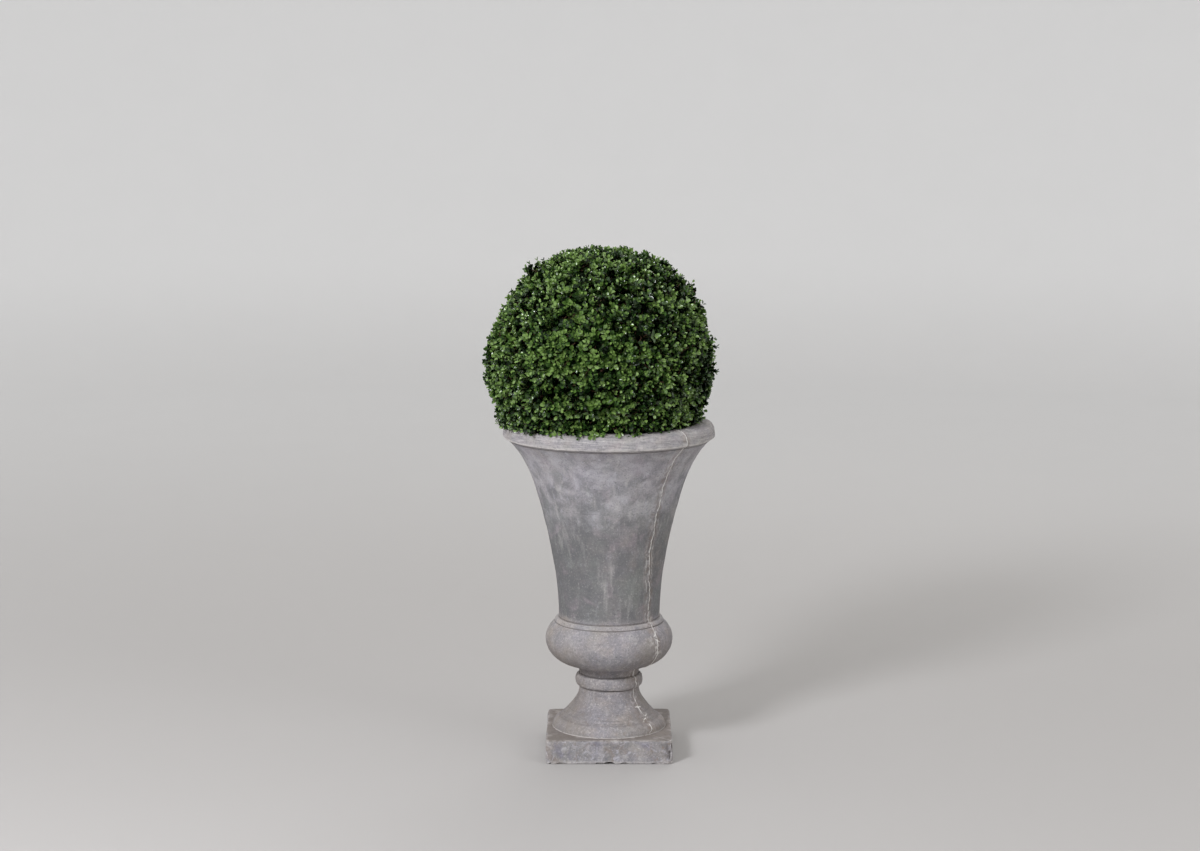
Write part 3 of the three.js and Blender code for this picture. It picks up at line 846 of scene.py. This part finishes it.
# A rounded square: straight sides joined by quarter arcs, as (x, y) points and outward normals
def roundedSquare(half, radius, step):
    straight = np.linspace(-(half - radius), half - radius, int(2 * half / step))
    arc = np.linspace(0, math.pi / 2, 8)[1:-1]
    side = np.stack([np.full(len(straight), half), straight], axis=-1)
    corner = np.stack([np.cos(arc), np.sin(arc)], axis=-1)
    quarter = np.concatenate([side, half - radius + corner * radius])
    normal = np.concatenate([np.tile([1.0, 0.0], (len(straight), 1)), corner])
    turns = np.arange(4) * math.pi / 2
    spins = [np.array([[math.cos(t), -math.sin(t)], [math.sin(t), math.cos(t)]]) for t in turns]
    return [np.concatenate([rows @ spin.T for spin in spins]) for rows in (quarter, normal)]


# The plinth: one rounded square carried from the middle of its underside, out, up its side and in over its
# top. Each row is a scale of the square and a height; a quarter turn rounds each arris.
def makePlinth():
    p = plinth
    top, half, arris = plinthBox["top"], p["half"], p["arris"]
    turn = np.linspace(0, math.pi / 2, 5)
    flat = [np.linspace(0, p["core"], p["coreRows"]), np.linspace(p["core"] + 0.06, 1, p["topRows"])]
    across = np.concatenate(flat) * (1 - arris / half)
    lowTurn = 1 - arris / half * (1 - np.sin(turn[1:]))
    sideHeights = np.linspace(arris, top - arris, int(top / p["step"]))
    upSide = np.ones(len(sideHeights) - 1)
    scale = np.concatenate([across, lowTurn, upSide, lowTurn[::-1][1:], across[::-1]])
    lowHeights = arris * (1 - np.cos(turn[1:]))
    highHeights = top - lowHeights[::-1][1:]
    height = np.concatenate([0 * across, lowHeights, sideHeights[1:], highHeights, 0 * across + top])
    outline, normal = roundedSquare(half, p["cornerRadius"], p["step"])
    points = np.empty((len(scale), len(outline), 3))
    points[..., :2] = scale[:, None, None] * outline[None]
    points[..., 2] = height[:, None]
    level = height[:, None]

    # Which way the relief stands out: sideways on the sides, up on the top, down on the underside
    sideways = smoothStep(0.0, arris * 1.4, np.minimum(level, top - level))
    onSide = np.repeat((scale > 1 - arris / half - 1e-6)[:, None], len(outline), axis=1)
    away = np.zeros(points.shape)
    away[..., :2] = normal[None] * (onSide * (0.35 + 0.65 * sideways))[..., None]
    away[..., 2] = np.where(level > top / 2, 1, -1) * (1 - onSide * sideways)
    away /= np.linalg.norm(away, axis=-1, keepdims=True)

    # Arrises: top and foot by height and distance from the side, uprights by distance from a corner
    atRim = bell((1 - scale) * half, p["edgeReach"])[:, None]
    upright = bell(half - np.abs(outline).min(axis=1), p["uprightReach"])[None] * onSide
    nearFoot = bell(level, p["footReach"]) * atRim * 0.8
    edge = np.clip(bell(top - level, p["edgeReach"]) * atRim + nearFoot + upright * 0.8, 0, 1.2)

    # Waver and skin, less the chips along the arrises and the crumbled front right corner
    out = p["waver"] * valueNoise(points, p["waverSize"], 21)
    out += p["skin"] * layeredNoise(points, p["skinSize"], 22, 2)
    chips = valueNoise(points, p["chipSize"], 23) + 0.40 * valueNoise(points, p["chipFine"], 24)
    corner = bell(np.hypot(points[..., 0] - half, points[..., 1] + half), p["cornerReach"])
    crumbled = corner * smoothStep(-0.35, 0.5, valueNoise(points, 0.009, 25)) * (level > p["cornerFrom"])
    out -= (p["chipDepth"] * smoothStep(0.12, 0.55, chips) + p["worn"]) * np.clip(edge, 0, 1)
    out -= p["cornerLoss"] * crumbled * np.clip(edge + 0.25, 0, 1)
    out = np.where(level < 1e-6, np.minimum(out, 0), out)
    points += away * out[..., None]

    # Drain slot: an arched notch in the underside, open to the front
    x, y, z = np.moveaxis(points, -1, 0)
    inNotch = (y < p["notchTo"]) & (np.abs(x) < p["notchWidth"] / 2)
    arch = p["notchHeight"] * np.sqrt(np.clip(1 - (x / (p["notchWidth"] / 2)) ** 2, 0, 1))
    points[..., 2] = np.maximum(np.where(inNotch, np.maximum(z, arch), z), 0)
    lime = 0.55 * bell(points[..., 2] - 0.004, 0.003)
    lime += 0.25 * smoothStep(0.3, 0.7, valueNoise(points, 0.018, 27))
    # the crumbled corner's edge falls below 0, so it too gets painted crease shade
    values = {"edge": np.clip(edge * 0.8 - crumbled * 1.8, -1, 1), "lime": lime}
    piece = makePiece("urnPlinth", points, gridFaces(*points.shape[:2]), castStoneFinish, values)
    closeSolid(piece)
    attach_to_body(piece, "root")
    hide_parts("plinth")
    print("urn: urnPlinth", len(piece.data.polygons), "faces")


makePlinth()


# Compost, filling the urn to just under its lip
soil = {
    "edgeHeight": 0.752, "crown": 0.004, "gap": 0.0004, "columns": 150, "rings": 70, "bowl": (0.06, 0.262),
    "crumb": 0.0030, "crumbSize": 0.009, "color": (0.030, 0.019, 0.012), "pale": (0.075, 0.052, 0.036),
}


# Pale crumbs on dark: where the sum of lumps and bits is high
def compostFinish():
    look = Look("pottingCompost")
    lump = look.noise(0.008, 5)
    bits = look.noise(0.0025, 3, shift=(2, 4, 6))
    color = look.mixed((lump + bits * 0.4).rise(0.62, 0.86) * 0.8, soil["color"], soil["pale"])
    normal = look.bump(lump + bits * 0.5, 0.003, 0.8)
    return look.finish(color=color, rough=0.86 + bits * 0.12, specular=0.2, normal=normal)


# Top: a low dome of rings from the middle out, with crumbs; below it the inside of the urn in coarse rings
def makeSoil():
    s = soil
    lining = urnShape["wallThickness"] + s["gap"]
    brim = wallRadius(s["edgeHeight"]) - lining
    top = np.linspace(0.0005, brim, s["rings"])
    depth = np.linspace(s["edgeHeight"] - 0.01, bulbBox["top"], 10)
    sides = wallRadius(depth) - lining
    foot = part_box("soil")[0].z
    bend = (sides[-1] + 0.02, s["bowl"][1])
    bowl = curveThrough((sides[-1], bulbBox["top"] - 0.004), bend, (s["bowl"][0], foot), 8)
    dome = s["edgeHeight"] + s["crown"] * (1 - (top / brim) ** 2)
    radius = np.concatenate([top, sides, bowl[:, 0], [0.0005]])[:, None]
    height = np.concatenate([dome, depth, bowl[:, 1], [foot]])[:, None]
    turns = np.linspace(0, 2 * math.pi, s["columns"], endpoint=False)
    points = np.stack([radius * np.cos(turns), radius * np.sin(turns), height + 0 * turns], axis=-1)
    fade = smoothStep(0, 0.01, brim - top)[:, None]
    domed = points[:s["rings"]]
    domed[..., 2] += s["crumb"] * fade * layeredNoise(domed, s["crumbSize"], 71, 3)
    piece = makePiece("compost", points, gridFaces(len(radius), s["columns"]), compostFinish())
    closeSolid(piece)
    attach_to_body(piece, "root")
    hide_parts("soil")
    print("compost:", len(piece.data.polygons), "faces")


makeSoil()


limbs = {
    "soilTop": 0.7563, "stemFoot": (-0.008, 0.0), "stemRise": 0.045, "stemTopZ": 0.879,
    "stemLean": (-0.020, 0.004), "footRadius": 0.024, "stemTip": 0.007,
    "flare": 0.011, "flareHeight": 0.026,
    "boughs": 6, "firstTurn": 0.4, "turn": 137.5, "firstZ": 0.782, "spacingZ": 0.009,
    "reach": 0.175, "rise": 0.110, "elbowReach": 0.45, "elbowRise": 0.25,
    "baseRadius": 0.0100, "tipRadius": 0.0070,
}
bark = {
    "dark": (0.060, 0.040, 0.026), "warm": (0.150, 0.098, 0.060), "moss": (0.075, 0.085, 0.045),
    "mossCover": 0.6, "furrow": 0.0011, "furrowSize": 0.0042, "knot": 0.0012, "knotSize": 0.006,
    "coil": (0.011, 0.030),  # noise space: width round the limb, length along it
}


# Long strips from dark to warm, with moss where its own slow noise is high
def barkFinish():
    look = Look("boxBark")
    strip = look.noise(0.010, 4, stretch=(1, 1, 0.25))
    fleck = look.noise(0.003, 3, shift=(3, 3, 3))
    moss = look.noise(0.03, 3, shift=(9, 1, 5))
    color = look.mixed(strip.rise(0.36, 0.66), bark["dark"], bark["warm"])
    color = look.mixed(moss.rise(0.52, 0.70) * bark["mossCover"], color, bark["moss"])
    normal = look.bump(strip + fleck * 0.4, 0.0012, 0.8)
    return look.finish(color=color, rough=0.80 + fleck * 0.14, specular=0.25, normal=normal)


# Points, tangents and two side vectors along paths bent from start by way of control to end, many at once
def bentPaths(start, control, end, steps):
    t = np.linspace(0, 1, steps)[None, :, None]
    start, control, end = start[:, None], control[:, None], end[:, None]
    points = (1 - t) ** 2 * start + 2 * t * (1 - t) * control + t**2 * end
    along = 2 * (1 - t) * (control - start) + 2 * t * (end - control)
    along /= np.linalg.norm(along, axis=-1, keepdims=True) + 1e-12
    helper = np.where(np.abs(along[:, :1, 2:3]) < 0.9, [[[0.0, 0.0, 1.0]]], [[[1.0, 0.0, 0.0]]])
    first = np.cross(along, helper)
    first /= np.linalg.norm(first, axis=-1, keepdims=True) + 1e-12
    return points, along, first, np.cross(along, first)


# Tubes along many bent paths: a ring of points round each step, the radius running from startRadius to
# endRadius. Each end is closed by a strip of quads across its ring.
def tubes(start, control, end, startRadius, endRadius, steps, sides, knots=0.0):
    points, _, first, second = bentPaths(start, control, end, steps)
    t = np.linspace(0, 1, steps)[None, :]
    radius = (startRadius[:, None] * (1 - t) + endRadius[:, None] * t)[:, :, None]
    spin = (np.arange(sides) * 2 * math.pi / sides)[None, None, :, None]
    ring = first[:, :, None] * np.cos(spin) + second[:, :, None] * np.sin(spin)
    if knots:
        radius = radius * (1 + knots * valueNoise(points[:, :, None] + ring * 0.02, 0.012, 61))
    vertices = points[:, :, None] + ring * radius[..., None]
    strip = np.arange(sides // 2 - 1)
    cap = np.stack([strip, strip + 1, sides - 2 - strip, sides - 1 - strip], axis=-1)
    one = np.concatenate([gridFaces(steps, sides), cap[:, ::-1], cap + (steps - 1) * sides])
    faces = one[None] + (np.arange(len(vertices)) * steps * sides)[:, None, None]
    return vertices.reshape(-1, 3), faces.reshape(-1, 4)


# One limb with bark: a tube whose radius follows radiusAt, furrowed along its length and knotted across it
def barkLimb(name, start, control, end, radiusAt, node, seed, steps=90, sides=48):
    path, _, first, second = bentPaths(*(np.array([v]) for v in (start, control, end)), steps)
    t = np.linspace(0, 1, steps)
    spin = np.linspace(0, 2 * math.pi, sides, endpoint=False)
    ring = first[0][:, None] * np.cos(spin)[:, None] + second[0][:, None] * np.sin(spin)[:, None]
    radius = np.repeat(radiusAt(t)[:, None], sides, axis=1)
    width, length = bark["coil"]
    coil = np.stack(np.broadcast_arrays(
        np.cos(spin)[None] * width, np.sin(spin)[None] * width, t[:, None] * length + seed,
    ), axis=-1)
    furrow = np.abs(valueNoise(coil, bark["furrowSize"], 62)) * 2 - 1
    radius = radius + bark["furrow"] * furrow * np.clip(radius / 0.012, 0.4, 1.4)
    radius = radius + bark["knot"] * valueNoise(coil * 0.5, bark["knotSize"], 63)
    row = np.arange(steps)
    ends = np.minimum(1, np.minimum(row, row[::-1]) * 0.999 + 0.001)  # both ends shrink to a point
    points = path[0][:, None] + ring * (radius * ends[:, None])[..., None]
    piece = makePiece(name, points, gridFaces(steps, sides), boxBarkFinish)
    closeSolid(piece)
    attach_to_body(piece, "root")
    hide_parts(node)


boxBarkFinish = barkFinish()


def stemPath():
    s = limbs
    foot = np.array([*s["stemFoot"], s["soilTop"]])
    return foot, foot + (0, 0, s["stemRise"]), np.array([*s["stemLean"], s["stemTopZ"]])


# Start, elbow and end of a bough: each leaves the stem higher up and turned on from the one before
def boughPath(i):
    s = limbs
    turn = s["firstTurn"] + i * math.radians(s["turn"])
    line = curveThrough(*stemPath(), 60)
    start = line[np.argmin(np.abs(line[:, 2] - (s["firstZ"] + i * s["spacingZ"])))]
    out = np.array([math.cos(turn), math.sin(turn), 0])
    elbow = start + out * s["reach"] * s["elbowReach"] + (0, 0, s["rise"] * s["elbowRise"])
    return start, elbow, start + out * s["reach"] + (0, 0, s["rise"])


def makeLimbs():
    s = limbs
    foot, control, top = stemPath()
    height = top[2] - foot[2]

    def stemRadius(t):
        flare = s["flare"] * np.clip(1 - t * height / s["flareHeight"], 0, 1) ** 2
        return s["footRadius"] + (s["stemTip"] - s["footRadius"]) * t + flare

    def boughRadius(t):
        return s["baseRadius"] + (s["tipRadius"] - s["baseRadius"]) * t

    barkLimb("stemBark", foot, control, top, stemRadius, "stem", 0.0, 120, 64)
    for i in range(s["boughs"]):
        barkLimb(f"bough{i + 1}Bark", *boughPath(i), boughRadius, f"bough_{i + 1}", 3.0 + i)
    print("stem and", s["boughs"], "boughs ready")


makeLimbs()


growth = {
    "seed": 41, "centre": (-0.020, 0.0, 0.940), "tips": 2350, "lowest": -0.66, "shake": 0.020,
    "inset": 0.013, "jitter": 0.010, "hollow": 0.011, "hollowSize": 0.050, "hollowSpan": 0.277,
    "reach": 0.36, "wander": 0.10, "thickness": 0.00078, "thicknessPower": 0.38, "twigTaper": 0.7,
    "stemShare": 0.86, "cut": (0.38, 0.62), "keep": 0.55, "steer": 0.6, "woodyFrom": 0.0021, "knots": 0.18,
    "strays": 34, "strayReach": (0.012, 0.025), "strayLowest": -0.2,
    "lipTips": 120, "lipReach": (0.228, 0.240), "lipHeight": 0.8215, "lipDrop": (-0.004, 0.003),
}
shoots = {
    "each": 3, "length": (0.026, 0.040), "spread": 0.62, "spreadShare": (0.55, 1.15), "radius": 0.0006,
    "taper": (1.3, 0.7), "keep": 0.45, "outward": 0.75, "sunk": 0.80, "apart": 0.0015,
    "bendAlong": 0.4, "bendOut": 1.3, "overLip": (0.850, 0.815), "lipLift": 0.10,
    "pairs": 5, "leafLength": (0.0138, 0.0186), "leafWidth": 0.65, "firstLeaf": 0.20, "stalk": 0.0009,
    "lean": (66, 62, 54, 42, 24), "sizes": (0.86, 1.0, 1.0, 0.86, 0.58), "leanSpread": 7,
    "turnSpread": 0.16, "tiltSpread": 0.10, "rollSpread": 0.18,
    "grown": (0.86, 1.10), "broad": (0.88, 1.10),
    "cup": 0.24, "curl": 0.28, "fold": 0.18, "most": 19000,  # most leaves in one piece
    # darker: older pairs nearer the shoot's foot, partly their own colour and partly painted shade
    "darker": (4, 3, 1, 0, -2),  # greens by which each pair is darker than its shoot
    "tintPatch": 0.07, "tintNear": 0.5, "tintTip": 0.32, "tintShoot": 0.45,
}
# From the darkest to the lightest; gloss rises with each, up to the one numbered glossyFrom
# shade and deep, near black, are partly old leaves and partly painted shade inside the ball
leafGreens = {
    "shade": (0.0010, 0.0040, 0.0005), "deep": (0.0040, 0.0150, 0.0020), "bottle": (0.0140, 0.0400, 0.0058),
    "box": (0.0380, 0.0890, 0.0140), "grass": (0.0820, 0.1600, 0.0285), "young": (0.1740, 0.2840, 0.0690),
}
leafSkin = {
    "rough": 0.40, "roughGloss": 0.14, "roughSkin": 0.15,
    "specular": 0.05, "gloss": 0.47, "coat": 0.55, "coatRough": 0.15, "glossyFrom": 3,
}
twigColors = {"twig": (0.085, 0.042, 0.024), "shoot": (0.070, 0.085, 0.026)}


def unit(v):
    return v / (np.linalg.norm(v, axis=-1, keepdims=True) + 1e-12)


# Reach of the clipped outline from the ball's centre in each direction: rays cast inwards on the CAD ball
def outlineReach(directions):
    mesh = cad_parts["foliage_ball"].data
    vertices = np.empty(len(mesh.vertices) * 3)
    mesh.vertices.foreach_get("co", vertices)
    polygons = [tuple(polygon.vertices) for polygon in mesh.polygons]
    tree = BVHTree.FromPolygons(vertices.reshape(-1, 3).tolist(), polygons)
    centre = Vector(growth["centre"])
    reach = np.empty(len(directions))
    for i, direction in enumerate(directions):
        away = Vector(direction)
        hit = tree.ray_cast(centre + away * 0.6, -away)
        reach[i] = (hit[0] - centre).length if hit[0] else 0.0
    return reach


# Twig tips: directions a golden angle apart, shaken, each tip a little inside the outline, deeper in hollows
def twigTips(rng):
    g = growth
    count = int(g["tips"] * 2 / (1 - g["lowest"]))
    i = np.arange(count) + 0.5
    lift = 1 - 2 * i / count
    turn = i * math.pi * (3 - math.sqrt(5))
    flat = np.sqrt(1 - lift**2)
    directions = np.stack([flat * np.cos(turn), flat * np.sin(turn), lift], axis=-1)
    directions = unit(directions + rng.normal(0, g["shake"], directions.shape))
    directions = directions[directions[:, 2] > g["lowest"]]
    reach = outlineReach(directions)
    kept = reach > 0.1
    directions, reach = directions[kept], reach[kept]
    dent = smoothStep(0.05, 0.7, valueNoise(directions * g["hollowSpan"], g["hollowSize"], 81))
    depth = g["inset"] + rng.uniform(0, g["jitter"], len(reach)) + g["hollow"] * dent
    tips = np.array(g["centre"]) + directions * (reach - depth)[:, None]
    high = np.nonzero(directions[:, 2] > g["strayLowest"])[0]
    stray = rng.choice(high, g["strays"], replace=False)
    tips[stray] += directions[stray] * rng.uniform(*g["strayReach"], g["strays"])[:, None]

    # A row of tips lies along the lip, pointing out over it
    turn = (np.arange(g["lipTips"]) + rng.uniform(-0.4, 0.4, g["lipTips"])) * 2 * math.pi / g["lipTips"]
    out = np.stack([np.cos(turn), np.sin(turn), np.full(len(turn), -0.05)], axis=-1)
    lipTips = out * rng.uniform(*g["lipReach"], len(turn))[:, None]
    lipTips += (*g["centre"][:2], g["lipHeight"])
    lipTips[:, 2] += rng.uniform(*g["lipDrop"], len(turn))
    return np.concatenate([tips, lipTips]), np.concatenate([directions, unit(out)])


# Branching rule: from a node, step part of the way to the middle of its tips, then share the tips between two
# branches, split across the line along which they spread most; one tip left is a twig. A branch is as
# thick as thickness * (number of tips) ^ thicknessPower. Returns (start, control, end, start radius,
# end radius) for each branch, and each twig's control point.
def growBranches(rng, tips):
    g = growth
    attach = [(stemPath()[2], np.array([0.0, 0.0, 1.0]), limbs["stemTip"])]
    for i in range(limbs["boughs"]):
        start, elbow, end = boughPath(i)
        attach.append((end, unit(end - elbow), limbs["tipRadius"]))
    ends = np.array([place for place, *_ in attach])
    away = np.linalg.norm(tips[:, None] - ends[None], axis=-1)
    away[:, 0] *= g["stemShare"]
    owner = np.argmin(away, axis=1)
    branches = []
    twigControl = np.empty(tips.shape)

    def thickness(count):
        return g["thickness"] * count ** g["thicknessPower"]

    def grow(start, heading, members, radius):
        count = len(members)
        if count == 1:
            tip = tips[members[0]]
            control = start + heading * np.linalg.norm(tip - start) * 0.5
            twigControl[members[0]] = control
            branches.append((start, control, tip, min(radius, thickness(1)), thickness(1) * g["twigTaper"]))
            return
        middle = tips[members].mean(axis=0)
        step = (middle - start) * g["reach"]
        length = np.linalg.norm(step)
        end = start + step + rng.normal(0, 1, 3) * length * g["wander"]
        control = start + heading * length * 0.45
        endRadius = min(radius, thickness(count))
        branches.append((start, control, end, radius, endRadius))
        heading = unit(end - control)
        spread = tips[members] - middle
        axis = np.linalg.svd(spread, full_matrices=False)[2][0] if count > 2 else unit(spread[0])
        order = np.argsort(spread @ axis)
        cut = max(1, min(count - 1, int(round(count * rng.uniform(*g["cut"])))))
        for part in (members[order[:cut]], members[order[cut:]]):
            toPart = unit(tips[part].mean(axis=0) - end)
            partRadius = min(endRadius, thickness(len(part)) * 1.08)
            grow(end, unit(heading * g["keep"] + toPart * g["steer"]), part, partRadius)

    for number, (place, heading, radius) in enumerate(attach):
        members = np.nonzero(owner == number)[0]
        if len(members):
            grow(place, heading, members, radius)
    return branches, twigControl


# A leaf's own outline: stations along it and half widths, blunt at the end, with two points on the midrib.
# It rises by 2 cup across^2, less curl / 2 along^2 and, on the midrib, less fold / 2 sin(pi along).
leafAlong = np.array([0.0, 0.30, 0.30, 0.64, 0.64, 0.90, 0.90, 0.99, 0.28, 0.66])
leafAcross = np.array([0.0, -0.40, 0.40, -0.50, 0.50, -0.30, 0.30, 0.0, 0.0, 0.0])
leafRise = 2 * shoots["cup"] * leafAcross**2 - shoots["curl"] / 2 * leafAlong**2
leafRise -= (leafAcross == 0) * shoots["fold"] / 2 * np.sin(leafAlong * math.pi)
leafTriangles = np.array([
    [0, 8, 1], [0, 2, 8], [1, 8, 3], [3, 8, 9], [8, 2, 4],
    [8, 4, 9], [3, 9, 5], [5, 9, 7], [9, 6, 7], [9, 4, 6],
])


# Leaves in crossed pairs up each shoot. Each leans off it by its pair's angle, upper face to the shoot's tip.
def makeLeaves(rng, base, heading, length, control):
    s = shoots
    count, pairs = len(base), s["pairs"]
    k = np.arange(pairs)
    t = (s["firstLeaf"] + (1 - s["firstLeaf"]) * k / (pairs - 1))[None, :, None]
    toControl = (control - base)[:, None]
    toEnd = (heading * length[:, None])[:, None]
    place = base[:, None] + toControl * 2 * t * (1 - t) + toEnd * t**2
    axis = unit(toControl * (1 - t) + (toEnd - toControl) * t)
    helper = unit(rng.normal(0, 1, (count, 1, 3)))
    side = unit(np.cross(axis, helper))
    front = np.cross(axis, side)
    turn = rng.uniform(0, math.pi, (count, 1)) + k[None] * math.pi / 2
    turn = turn + rng.normal(0, s["turnSpread"], (count, pairs))
    lean = np.radians(np.array(s["lean"])[None] + rng.normal(0, s["leanSpread"], (count, pairs)))
    size = rng.uniform(*s["leafLength"], (count, 1)) * np.array(s["sizes"])[None]
    leaves = []
    for half in (0, math.pi):
        spin = turn + half
        tilt = lean + rng.normal(0, s["tiltSpread"], lean.shape)
        grown = size * rng.uniform(*s["grown"], size.shape)
        out = side * np.cos(spin)[..., None] + front * np.sin(spin)[..., None]
        along = axis * np.cos(tilt)[..., None] + out * np.sin(tilt)[..., None]
        upper = axis * np.sin(tilt)[..., None] - out * np.cos(tilt)[..., None]
        across = np.cross(along, upper)
        roll = rng.normal(0, s["rollSpread"], spin.shape)[..., None]
        cos, sin = np.cos(roll), np.sin(roll)
        across, upper = across * cos + upper * sin, upper * cos - across * sin
        width = grown * s["leafWidth"] * rng.uniform(*s["broad"], grown.shape)
        leaves.append(
            (place + along * s["stalk"])[:, :, None]
            + along[:, :, None] * (grown[..., None] * leafAlong)[..., None]
            + across[:, :, None] * (width[..., None] * leafAcross)[..., None]
            + upper[:, :, None] * (grown[..., None] * leafRise)[..., None]
        )
    return np.stack(leaves, axis=2)  # shoot, pair, side, point, xyz


# Whether each leaf is clear of the stone lip, the urn's outside and the soil
def clearOfUrn(points):
    radius = np.linalg.norm(points[..., :2], axis=-1)
    z = points[..., 2]
    fall = smoothStep(urnShape["shoulderRadius"], rimBox["radius"], radius)
    lipTop = rimBox["top"] - urnShape["lipFall"] * fall
    inStone = (radius > urnShape["mouthRadius"] - 0.002) & (z < lipTop + 0.0006)
    inSoil = z < soil["edgeHeight"] + soil["crown"]
    return ~(inStone | inSoil).any(axis=-1)


# One even green; skin and veins vary its roughness and relief, and gloss, from 0 to 1, makes it shine
def leafFinish(name, color, gloss):
    s = leafSkin
    look = Look(name)
    skin = look.noise(0.006, 2)
    vein = look.noise(0.0016, 2, shift=(4, 4, 4))
    return look.finish(
        color=color, rough=s["rough"] - s["roughGloss"] * gloss + skin * s["roughSkin"],
        specular=s["specular"] + s["gloss"] * gloss, coat=s["coat"] * gloss, coatRough=s["coatRough"],
        normal=look.bump(vein + skin * 0.5, 0.0003, 0.35),
    )


# One even brown or green, its roughness and relief in ribs along the height
def twigFinish(name, color):
    look = Look(name)
    rib = look.noise(0.002, 3, stretch=(1, 1, 0.4))
    normal = look.bump(rib, 0.0003, 0.6)
    return look.finish(color=color, rough=0.62 + rib * 0.25, specular=0.3, normal=normal)


def foliagePiece(name, vertices, faces, material):
    piece = makePiece(name, vertices, faces, material)
    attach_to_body(piece, "root")
    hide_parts("foliage_ball")
    print("foliage:", name, len(faces), "faces")


# Shoots leave each twig near its tip, fanned round its heading; over the lip they lie nearly flat. Returns
# each shoot's tip number, base, bend, heading and length.
def growShoots(rng, tips, directions, twigControl):
    s = shoots
    each = s["each"]
    owner = np.repeat(np.arange(len(tips)), each)
    outward = directions.copy()
    overLip = smoothStep(*s["overLip"], tips[:, 2])
    outward[:, 2] = outward[:, 2] * (1 - overLip) + s["lipLift"] * overLip
    along = unit(tips - twigControl) * s["keep"] * (1 - overLip[:, None])
    along = unit(along + unit(outward) * s["outward"])[owner]
    helper = unit(np.cross(along, rng.normal(0, 1, along.shape)))
    start = np.repeat(rng.uniform(0, 2 * math.pi, len(tips)), each)
    spin = (np.tile(np.arange(each), len(tips)) * 2 * math.pi / each + start)[:, None]
    fan = helper * np.cos(spin) + np.cross(along, helper) * np.sin(spin)
    spread = (s["spread"] * rng.uniform(*s["spreadShare"], len(owner)))[:, None]
    length = rng.uniform(*s["length"], len(owner))
    reach = length[:, None]
    base = tips[owner] - along * reach * s["sunk"] + fan * s["apart"]
    bend = base + unit(along * s["bendAlong"] + fan * spread * s["bendOut"]) * reach * 0.5
    return owner, base, bend, unit(along + fan * spread), length


# The green that each pair of leaves has: dealt by tip, partly in patches, then by shoot, in equal shares, and
# darker towards the shoot's foot, partly as older leaves and partly as painted shade deeper in the ball
def dealGreens(rng, tips, owner):
    s = shoots
    count = len(leafGreens)
    patch = valueNoise(tips, s["tintPatch"], 91) * s["tintNear"] + rng.normal(0, s["tintTip"], len(tips))
    patch = patch[owner] + rng.normal(0, s["tintShoot"], len(owner))
    steps = np.quantile(patch, np.linspace(0, 1, count + 1)[1:-1])
    tint = np.searchsorted(steps, patch)
    return np.clip(tint[:, None] - np.array(s["darker"])[None], 0, count - 1)


# Branches and twigs as tubes, three green shoots at each tip, and their leaves sorted into pieces by green
def makeFoliage():
    g, s = growth, shoots
    rng = np.random.default_rng(g["seed"])
    tips, directions = twigTips(rng)
    branches, twigControl = growBranches(rng, tips)
    columns = [np.array(column) for column in zip(*branches)]
    thick = columns[3] > g["woodyFrom"]
    woody = twigFinish("boxTwig", twigColors["twig"])
    foliagePiece("branches", *tubes(*(column[thick] for column in columns), 8, 8, g["knots"]), woody)
    foliagePiece("twigs", *tubes(*(column[~thick] for column in columns), 4, 4), woody)
    print("branches:", int(thick.sum()), "twigs:", int((~thick).sum()), "tips:", len(tips))

    owner, base, bend, heading, length = growShoots(rng, tips, directions, twigControl)
    footRadius, tipRadius = (np.full(len(owner), s["radius"] * share) for share in s["taper"])
    stalks = tubes(base, bend, base + heading * length[:, None], footRadius, tipRadius, 3, 4)
    foliagePiece("greenShoots", *stalks, twigFinish("boxShoot", twigColors["shoot"]))

    leaves = makeLeaves(rng, base, heading, length, bend)
    clear = clearOfUrn(leaves)
    tint = dealGreens(rng, tips, owner)
    for index, (name, green) in enumerate(leafGreens.items()):
        chosen = leaves[(tint == index)[:, :, None] & clear]
        material = leafFinish(f"{name}Green", green, min(1.0, index / leafSkin["glossyFrom"]))
        parts = np.array_split(chosen, math.ceil(len(chosen) / s["most"]))
        for number, part in enumerate(parts):
            faces = leafTriangles[None] + (np.arange(len(part)) * len(leafAlong))[:, None, None]
            foliagePiece(f"{name}Leaves{number + 1}", part.reshape(-1, 3), faces.reshape(-1, 3), material)


makeFoliage()
